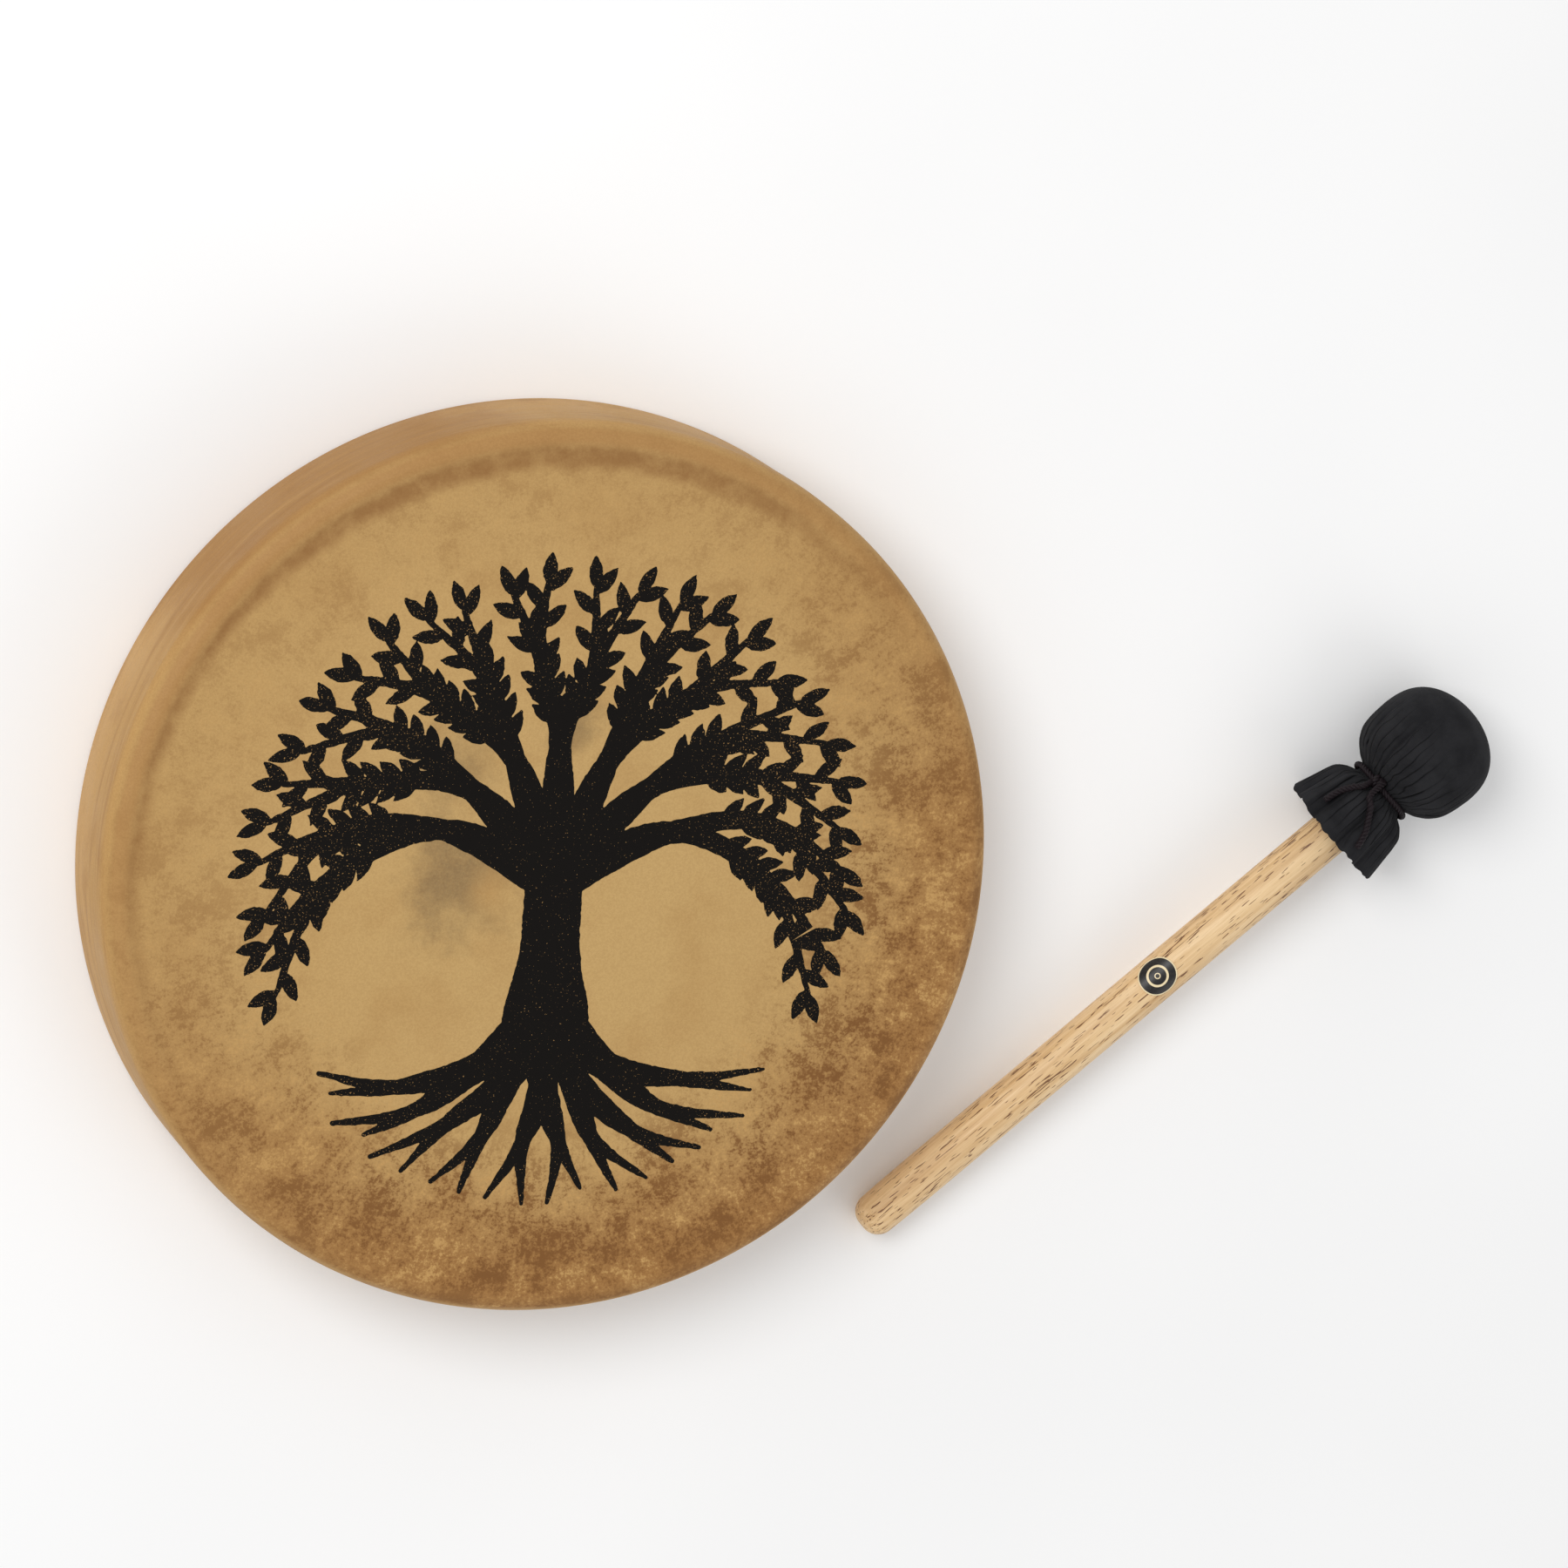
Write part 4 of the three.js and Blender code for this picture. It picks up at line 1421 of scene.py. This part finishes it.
@dataclass
class Lacing:
    """The lace that draws the hide's edge to a ring, in four grips with a cord wound round each."""

    strand_offset: float = 1.994
    grip_height: float = 8.114
    hole_circle: float = 160.0
    hole_step: float = math.radians(22.5)
    foot_inner: float = 179.0
    lip_radius: float = 150.0
    lip_height: float = 6.0
    hide: float = 1.2
    clear: float = 2.2  # from the hide's face to the lace's middle
    wrap_start: float = 27.0
    wrap_end: float = 77.0
    wrap_cord: float = 2.5
    wrap_radius: float = 6.3
    ring_radius: float = 16.0
    ring_wire: float = 2.0
    ring_reach: float = 4.6
    cord: PliedCord = PliedCord(3.4, pitch=10.0, step=1.6, sides=6)
    grips: tuple[str, ...] = ("right", "top", "left", "bottom")

    def underside(self, radius: float) -> float:
        """The height of the hide's laced edge from below, at a radius."""
        share = max(0.0, self.foot_inner - radius) / (self.foot_inner - self.lip_radius)
        return self.lip_height * share

    def through(self, side: int, order: int, strand: float) -> list[Vector]:
        """The lace from a grip's mouth, under the hide and up through one hole.

        Args:
            side: which side of the grip, -1 or 1.
            order: 0 for the near hole, 1 for the far one.
            strand: the strand's height in the grip.

        Returns:
            The points of its route, which end above the hide.
        """
        angle = side * (order + 0.5) * self.hole_step
        hole = Vector((self.hole_circle * math.cos(angle), self.hole_circle * math.sin(angle), 0.0))
        mouth = Vector((self.wrap_end + 5, side * (self.strand_offset + order * 1.2), strand))
        run = (hole - mouth).to_2d().normalized().to_3d()

        def on(distance: float, lift: float = 0.0) -> Vector:
            """A point at a distance past the hole, on the hide's near face, in it or on its far face."""
            point = hole + run * distance
            low = self.underside(math.hypot(point.x, point.y))
            heights = {-1: low - self.clear, 0: low + self.hide / 2, 1: low + self.hide + self.clear}
            point.z = heights[(distance > 0) - (distance < 0)] + lift
            return point

        lead = mouth + run * 8
        lead.z = strand - 0.8
        over = on(5)
        turn = side * (1.3 if order else 0.7) * self.hole_step
        reach = self.hole_circle + 6
        away = Vector((reach * math.cos(turn), reach * math.sin(turn), over.z))
        return [mouth, lead, on(-22, -2), on(-6.5), on(0), over, away]

    def loop(self, side: int) -> list[Vector]:
        """One loop of lace: out of the grip, through two holes and back."""
        y = side * self.strand_offset
        low, high = self.grip_height - self.strand_offset, self.grip_height + self.strand_offset
        ends = (self.wrap_start, self.wrap_end)
        out = [*(Vector((x, y, low)) for x in ends), *self.through(side, 1, low)]
        back = [*(Vector((x, y, high)) for x in ends), *self.through(side, 0, high)]
        turn, reach = side * self.hole_step, self.hole_circle + 6
        stitch = Vector((reach * math.cos(turn), reach * math.sin(turn), out[-1].z))
        return [*out, stitch, *back[::-1]]

    def ring_turn(self, side: int) -> list[Vector]:
        """The lace's turn round the ring."""
        y = side * self.strand_offset
        low, high = self.grip_height - self.strand_offset, self.grip_height + self.strand_offset
        turn = []
        for angle in range(-80, -281, -40):
            a = math.radians(angle)
            x = self.ring_radius + self.ring_reach * math.cos(a)
            turn.append(Vector((x, y, self.grip_height + self.ring_reach * math.sin(a))))
        inside = self.wrap_start + 2
        outside = self.wrap_start - 1
        start = [Vector((inside, y, low)), Vector((outside, y, low))]
        return [*start, *turn, Vector((outside, y, high)), Vector((inside, y, high))]

    def build_grip(self, name: str, number: int, place: Matrix, finish: bpy.types.Material) -> None:
        """Lace one grip and wind its cord.

        Args:
            name: where the grip is.
            number: its number round the drum.
            place: the drum's own frame.
            finish: the cord's finish.
        """
        turned = place @ Matrix.Rotation(number * math.pi / 2, 4, "Z")
        points, faces = [], []
        for side in (-1, 1):
            for path in (self.loop(side), self.ring_turn(side)):
                more_points, more_faces = self.cord.strands(path, first=len(points))
                points += more_points
                faces += more_faces
        lace = new_piece("lace_cord_" + name, points, faces, finish, turned)
        outfit(lace, Body.DRUM, Slot.LACE, "lace_" + name)
        turns = round((self.wrap_end - self.wrap_start - self.wrap_cord) / self.wrap_cord)
        coil = []
        for i in range(turns * 22 + 1):
            a = 2 * math.pi * i / 22
            x = self.wrap_start + self.wrap_cord / 2 + self.wrap_cord * i / 22
            r = self.wrap_radius + 0.08 * ripple(x, 9 * number, 0, 3.0)
            coil.append((x, r * math.cos(a), self.grip_height + r * math.sin(a)))
        points, faces = tube(np.array(coil), self.wrap_cord / 2 * 1.02, 8)
        wrap = new_piece("grip_winding_" + name, points, faces, finish, turned)
        outfit(wrap, Body.DRUM, Slot.LACE, "grip_wrap_" + name)

    def build_ring(self, place: Matrix, finish: bpy.types.Material) -> None:
        """Make the steel ring in the middle."""
        turn = np.linspace(0, 2 * np.pi, 96, endpoint=False)
        line = np.column_stack(
            [self.ring_radius * np.cos(turn), self.ring_radius * np.sin(turn), np.full(96, self.grip_height)]
        )
        points, faces = tube(line, self.ring_wire, 20, closed=True)
        ring = new_piece("welded_ring", points, faces, finish, place)
        outfit(ring, Body.DRUM, Slot.STEEL, "steel_ring")

    def build(self, place: Matrix) -> None:
        """Build all of the lacing."""
        cotton = CottonLace().make()
        for number, name in enumerate(self.grips):
            self.build_grip(name, number, place, cotton)
        self.build_ring(place, PlatedSteel().make())


@dataclass
class Drum:
    """The drum: bent hoop, bearing ring, hide, print and lacing."""

    hide: Hide = field(default_factory=Hide)
    tree: TreePrint = field(default_factory=TreePrint)
    lacing: Lacing = field(default_factory=Lacing)

    def dress_hoop(self) -> None:
        """Give the bent hoop and the bearing ring their wood."""
        wood = BentWood().make()
        for name in ("frame_hoop", "bearing_ring"):
            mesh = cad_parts[name].data
            mesh.materials.clear()
            mesh.materials.append(wood)
            log.info("%s: finish only", name)

    def build(self) -> None:
        """Build and dress the drum."""
        place = Matrix.Translation(drum_centre())
        self.dress_hoop()
        self.hide.build(GoatParchment().make(), place)
        self.tree.build(PrintInk().make(), place)
        self.lacing.build(place)


# ---- Beater ----


def beater_place() -> Matrix:
    """The beater's own frame: its end at the origin, +Z along it, +Y up and +X towards the drum.

    Returns:
        The frame's matrix, in metres.
    """
    stick = np.array([v.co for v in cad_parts["beater_stick"].data.vertices])
    cover = np.array([v.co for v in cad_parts["beater_cover"].data.vertices])
    middle = stick.mean(axis=0)
    _, _, directions = np.linalg.svd(stick - middle)
    axis = Vector(directions[0])
    if (Vector(cover.mean(axis=0)) - Vector(middle)).dot(axis) < 0:
        axis = -axis
    up = Vector((0, 0, 1))
    up = (up - axis * up.dot(axis)).normalized()
    right = up.cross(axis)
    along = (stick - middle) @ np.array(axis)
    across = [(stick - middle) @ np.array(d) for d in (right, up)]
    centre = [(a.min() + a.max()) / 2 for a in across]
    start = Vector(middle) + axis * along.min() + right * centre[0] + up * centre[1]
    turned = Matrix((right, up, axis)).transposed().to_4x4()
    return Matrix.Translation(start) @ turned


@dataclass
class Beater:
    """The soft beater: dowel, felt pad, cloth cover, tie and badge. Heights are from the dowel's end."""

    length: float = 345.4
    stick_radius: float = 9.75
    stick_round: float = 8.0
    stick_end: float = 330.4
    head_radius: float = 27.75
    head_reach: float = 26.0
    blunt: float = 2.45  # above 2, the head's end is flatter than a ball's
    neck: float = 293.0
    neck_radius: float = 13.1
    hem: float = 266.0
    hem_radius: float = 25.0
    cloth: float = 0.6
    tie: float = 3.0
    tail: float = 22.0
    badge_radius: float = 8.75
    badge_height: float = 167.0
    badge_turn: float = 64.0  # degrees from +X to +Y, towards the drum and up
    badge_lift: float = 0.16
    badge_thickness: float = 0.28
    floor_gap: float = 0.5
    segments: int = 480

    def outline(self, height: float) -> float:
        """The cover's middle radius at a height.

        Args:
            height: the height along the beater.

        Returns:
            The radius, before pleats and folds.
        """
        widest = self.length - self.head_reach
        if height >= widest:
            share = min(1.0, (height - widest) / self.head_reach)
            return self.head_radius * math.sqrt(max(0.0, 1 - share**self.blunt))
        knots = [
            (self.hem - 6, self.hem_radius + 0.6), (self.hem, self.hem_radius - 0.3),
            (self.hem + 10, 22.8), (self.neck - 11, 21.6), (self.neck - 7, 20.2),
            (self.neck - 4, 17.2), (self.neck - 2, 13.6),
            (self.neck, self.neck_radius), (self.neck + 2, 13.7), (self.neck + 4.4, 18.4),
            (self.neck + 8, 22.8), (self.neck + 14, 26.2), (widest, self.head_radius),
            (widest + 8, self.head_radius),
        ]
        heights, radii = zip(*knots)
        i = max(k for k in range(1, len(knots) - 2) if k == 1 or heights[k] <= height)
        t = (height - heights[i]) / (heights[i + 1] - heights[i])
        slopes = [
            (radii[k + 1] - radii[k - 1]) / (heights[k + 1] - heights[k - 1]) * (heights[i + 1] - heights[i])
            for k in (i, i + 1)
        ]
        h00, h10 = 2 * t**3 - 3 * t**2 + 1, t**3 - 2 * t**2 + t
        h01, h11 = -2 * t**3 + 3 * t**2, t**3 - t**2
        return h00 * radii[i] + h10 * slopes[0] + h01 * radii[i + 1] + h11 * slopes[1]

    def pleat(self, angle: float, height: float) -> float:
        """How far the cover's head stands out or dips at a pleat.

        Args:
            angle: the angle round the beater.
            height: the height along it.

        Returns:
            The change in radius.
        """
        up = (height - self.neck) / (self.length - self.neck)
        if up <= 0:
            return 0.0
        x, y = 20 * math.cos(angle), 20 * math.sin(angle)
        wander = angle + 0.05 * ripple(x, y, height, 16)
        fine = 1 - abs(math.sin(13 * wander + 2.2 * ripple(x, y, 0, 9)))
        broad = 1 - abs(math.sin(4 * wander + 1.9 * ripple(x, y, 0, 14, 4)))
        fade = math.exp(-(((up - 0.1) / 0.4) ** 2))
        strength = 0.6 + 0.5 * ripple(x, y, height * 0.25, 7, 2)
        reach = 0.45 + 0.35 * ripple(x, y, 0, 6, 8)
        long_fade = 1 / (1 + math.exp((up - reach) / 0.07))
        crease = -1.0 * fine**4 * strength * fade - 1.6 * broad**12 * long_fade
        puff = 0.6 * math.exp(-(((up - 0.22) / 0.16) ** 2)) * ripple(x, y, 0, 6, 1)
        lump = 0.7 * ripple(x, y, height, 24, 5) * math.sin(math.pi * min(1.0, up * 1.1))
        return (crease + puff) * min(1.0, up * 8) + lump

    def fold(self, angle: float, height: float) -> tuple[float, float]:
        """How the skirt folds: the change in radius, and the turn that lets a fold lean over.

        Args:
            angle: the angle round the beater.
            height: the height along it.

        Returns:
            The change in radius and in angle.
        """
        down = max(0.0, min(1.0, (self.neck - height) / (self.neck - self.hem)))
        x, y = 20 * math.cos(angle), 20 * math.sin(angle)
        phase = 4.5 * angle + 0.8 * ripple(x, y, 0, 13, 3)
        small = 16 * angle + 2.0 * ripple(x, y, 0, 8, 6)
        size = (0.75 + 0.5 * ripple(x, y, 0, 10, 5)) * min(1.0, down * 3.5) * (0.55 + 0.45 * down)
        wave = 0.6 - 1.9 * (1 - abs(math.sin(phase))) ** 2
        gather = 0.8 * (1 - abs(math.sin(small))) ** 2 * min(1.0, down * 8) * (1 - down) ** 0.8
        lean = 0.05 * size * math.sin(4 * phase + 0.5)
        return 2.9 * size * wave - gather, lean

    def hem_shift(self, angle: float) -> float:
        """How far the hem hangs past its line: longest at the top, with a lightly pinked edge."""
        x, y = 20 * math.cos(angle), 20 * math.sin(angle)
        teeth = abs(((angle * 30 / math.pi) % 2.0) - 1.0)
        uneven = 4.2 * math.cos(angle - math.radians(self.badge_turn + 12))
        return uneven + 1.6 * ripple(x, y, 0, 8, 9) + 0.6 * teeth + 0.5 * ripple(x, y, 0, 1.9, 12)

    def build_stick(self, place: Matrix) -> None:
        """Turn the dowel."""
        bend = self.stick_radius - self.stick_round
        rows = [(0.02, 0.0)]
        for a in np.radians(np.linspace(-88, 0, 12)):
            height = self.stick_round + self.stick_round * math.sin(a)
            rows.append((bend + self.stick_round * math.cos(a), height))
        rows += [(self.stick_radius, z) for z in np.arange(16, self.stick_end - 2, 8)]
        rows.append((self.stick_radius - 0.3, self.stick_end - 0.5))
        rows += [(self.stick_radius - 1, self.stick_end), (0.02, self.stick_end)]
        count = 72
        points = []
        for radius, height in rows:
            for k in range(count):
                a = 2 * math.pi * k / count
                taper = 1 - 0.05 * max(0.0, 1 - height / 34) ** 2
                wavy = 0.05 * ripple(9 * math.cos(a), 9 * math.sin(a), height, 30) if radius > 5 else 0
                r = radius * taper + wavy
                points.append((r * math.cos(a), r * math.sin(a), height))
        faces = turned_faces(len(rows), count)
        stick = new_piece("dowel", laid(points, place), faces, SandedDowel().make(place))
        outfit(stick, Body.BEATER, Slot.DOWEL, "beater_stick")

    def build_pad(self, place: Matrix) -> None:
        """Roll the felt pad round the dowel's end."""
        gap, bore, sunk = 0.4, self.stick_radius + 0.25, 2.2
        top = self.stick_end + 0.9
        foot = self.neck - 8
        waist = 11.6
        rows = [(0.02, top), (bore - 1, top), (bore, top - 0.8), (bore, foot + 1)]
        rows += [(bore + 0.6, foot), (waist - 0.4, foot), (waist, foot + 1)]
        for height in np.linspace(self.neck - 3, self.neck + 2, 5):
            rows.append((waist, height))
        for height in np.linspace(self.neck + 3, self.length - 2.9, 26):
            inside = min(self.outline(height - 1.0), self.outline(min(height + 1.2, self.length)))
            rows.append((max(0.02, inside - self.cloth - gap - sunk), height))
        rows.append((0.02, self.length - 2.6))
        count = 96
        points = []
        for radius, height in rows:
            for k in range(count):
                a = 2 * math.pi * k / count
                lumpy = 0.25 * ripple(radius * math.cos(a), radius * math.sin(a), height, 7)
                r = radius + (lumpy if radius > 11 else 0.0)
                points.append((r * math.cos(a), r * math.sin(a), height))
        faces = turned_faces(len(rows), count)
        pad = new_piece("felt_pad", laid(points, place), faces, WoolFelt().make(place))
        outfit(pad, Body.BEATER, Slot.FELT, "beater_padding")

    def build_cover(self, place: Matrix) -> None:
        """Gather the cloth over the pad and let its skirt fall in folds."""
        widest = self.length - self.head_reach
        heights = [widest + self.head_reach * math.sin(a) for a in np.radians(np.linspace(87.5, 3, 30))]
        heights += list(np.linspace(widest, self.neck + 5, 30))
        heights += list(np.linspace(self.neck + 4.2, self.neck - 6, 15))
        heights += list(np.linspace(self.neck - 7, self.hem, 30))
        points = []
        for height in heights:
            for k in range(self.segments):
                a = 2 * math.pi * k / self.segments
                r, z = self.outline(height), height
                if height >= self.neck:
                    r += self.pleat(a, height)
                else:
                    swell, lean = self.fold(a, height)
                    r, a = r + swell, a + lean
                    down = (self.neck - height) / (self.neck - self.hem)
                    z -= self.hem_shift(a) * max(0.0, down - 0.55) / 0.45
                tight = math.exp(-(((abs(height - self.neck) - 3.2) / 1.6) ** 2))
                r += tight * 0.45 * math.sin(27 * a + 3 * ripple(20 * math.cos(a), 20 * math.sin(a), 0, 6))
                points.append((r * math.cos(a), r * math.sin(a), z))
        tip = len(points)
        points.append((0.0, 0.0, self.length))
        faces = grid_faces(len(heights), self.segments)
        faces += [(tip, k, (k + 1) % self.segments) for k in range(self.segments)]
        spread = laid(points, place)
        spread[:, 2] = np.maximum(spread[:, 2], self.floor_gap)
        cover = new_piece("cloth_cover", spread, faces, StretchJersey().make(place))
        thicken(cover, self.cloth)
        outfit(cover, Body.BEATER, Slot.CLOTH, "beater_cover")

    def build_tie(self, place: Matrix) -> None:
        """Tie the cord round the neck, with a knot and two tails on the skirt."""
        cord = PliedCord(self.tie, pitch=5.6, step=0.5, sides=8)
        reach = self.neck_radius + self.tie / 2 + 0.1
        knot = math.radians(self.badge_turn - 9)
        ring = []
        for k in range(40):
            a = 2 * math.pi * k / 40
            ring.append((reach * math.cos(a), reach * math.sin(a), self.neck + 0.35 * math.sin(3 * a + 1)))
        points, faces = cord.strands(ring, closed=True)
        ahead = Vector((-math.sin(knot), math.cos(knot), 0.0))
        outward = Vector((math.cos(knot), math.sin(knot), 0.0))
        along = Vector((0.0, 0.0, 1.0))
        middle = outward * (reach + 0.9) + along * self.neck
        paths = []
        for spread, bow, length, start in ((0.66, 0.16, self.tail, -1.0), (-0.3, -0.1, self.tail - 3, 1.0)):
            wound = []
            for k in range(10):
                a = math.radians(-70 + 42 * k) * start
                turned = outward * 2.1 * math.cos(a) + along * 2.1 * math.sin(a)
                wound.append(middle + ahead * (1.9 * start - 0.42 * start * k) + turned)
            hanging = []
            for k in range(1, 9):
                share = k / 8
                a = knot + spread * share + bow * math.sin(math.pi * share)
                height = self.neck - 3.5 - share * length
                swell, _ = self.fold(a, height)
                over = self.tie / 2 + 0.35 + 0.6 * (1 - share)
                r = self.outline(max(height, self.hem)) + max(swell, -0.4) + over
                hanging.append(Vector((r * math.cos(a), r * math.sin(a), height)))
            paths.append(wound + hanging)
        for path in paths:
            more_points, more_faces = cord.strands(path, first=len(points))
            points += more_points
            faces += more_faces
        tie = new_piece("cord_tie", laid(points, place), faces, WaxedCord().make(place))
        outfit(tie, Body.BEATER, Slot.CORD, "beater_tie")

    def build_badge(self, place: Matrix) -> None:
        """Lay the round badge on the dowel: a plain disc with rings and no mark."""
        rings = [0.0, 0.9, 1.35, 2.6, 3.9, 4.9, 5.3, 6.6, 7.6, 8.15, 8.4, self.badge_radius]
        pale = [(0.9, 1.35), (3.9, 4.9), (8.15, 8.4), (8.4, self.badge_radius)]
        count = 72
        base = self.stick_radius + self.badge_lift + self.badge_thickness
        knot = math.radians(self.badge_turn)
        points = [(base * math.cos(knot), base * math.sin(knot), self.badge_height)]
        for radius in rings[1:]:
            for k in range(count):
                a = 2 * math.pi * k / count
                bent = knot + radius * math.cos(a) / base
                height = self.badge_height + radius * math.sin(a)
                points.append((base * math.cos(bent), base * math.sin(bent), height))
        faces = [(0, 1 + k, 1 + (k + 1) % count) for k in range(count)]
        for row in range(len(rings) - 2):
            for k in range(count):
                beside = (k + 1) % count
                near, far = 1 + row * count, 1 + (row + 1) * count
                faces.append((near + k, far + k, far + beside, near + beside))
        black = BadgeVinyl("#0b090b", "black").make()
        cream = BadgeVinyl("#efdcb2", "cream").make()
        badge = new_piece("round_badge", laid(points, place), faces, [black, cream])
        for polygon in badge.data.polygons[count:]:
            row = 1 + (polygon.index - count) // count
            polygon.material_index = int((rings[row], rings[row + 1]) in pale)
        thicken(badge, self.badge_thickness)
        outfit(badge, Body.BEATER, Slot.BADGE, "beater_badge")

    def build(self) -> None:
        """Build and dress the beater."""
        place = beater_place()
        self.build_stick(place)
        self.build_pad(place)
        self.build_cover(place)
        self.build_tie(place)
        self.build_badge(place)


def main() -> None:
    """Build the studio, the drum and the beater in order."""
    Studio().build()
    Drum().build()
    Beater().build()


if __name__ == "__main__":
    main()
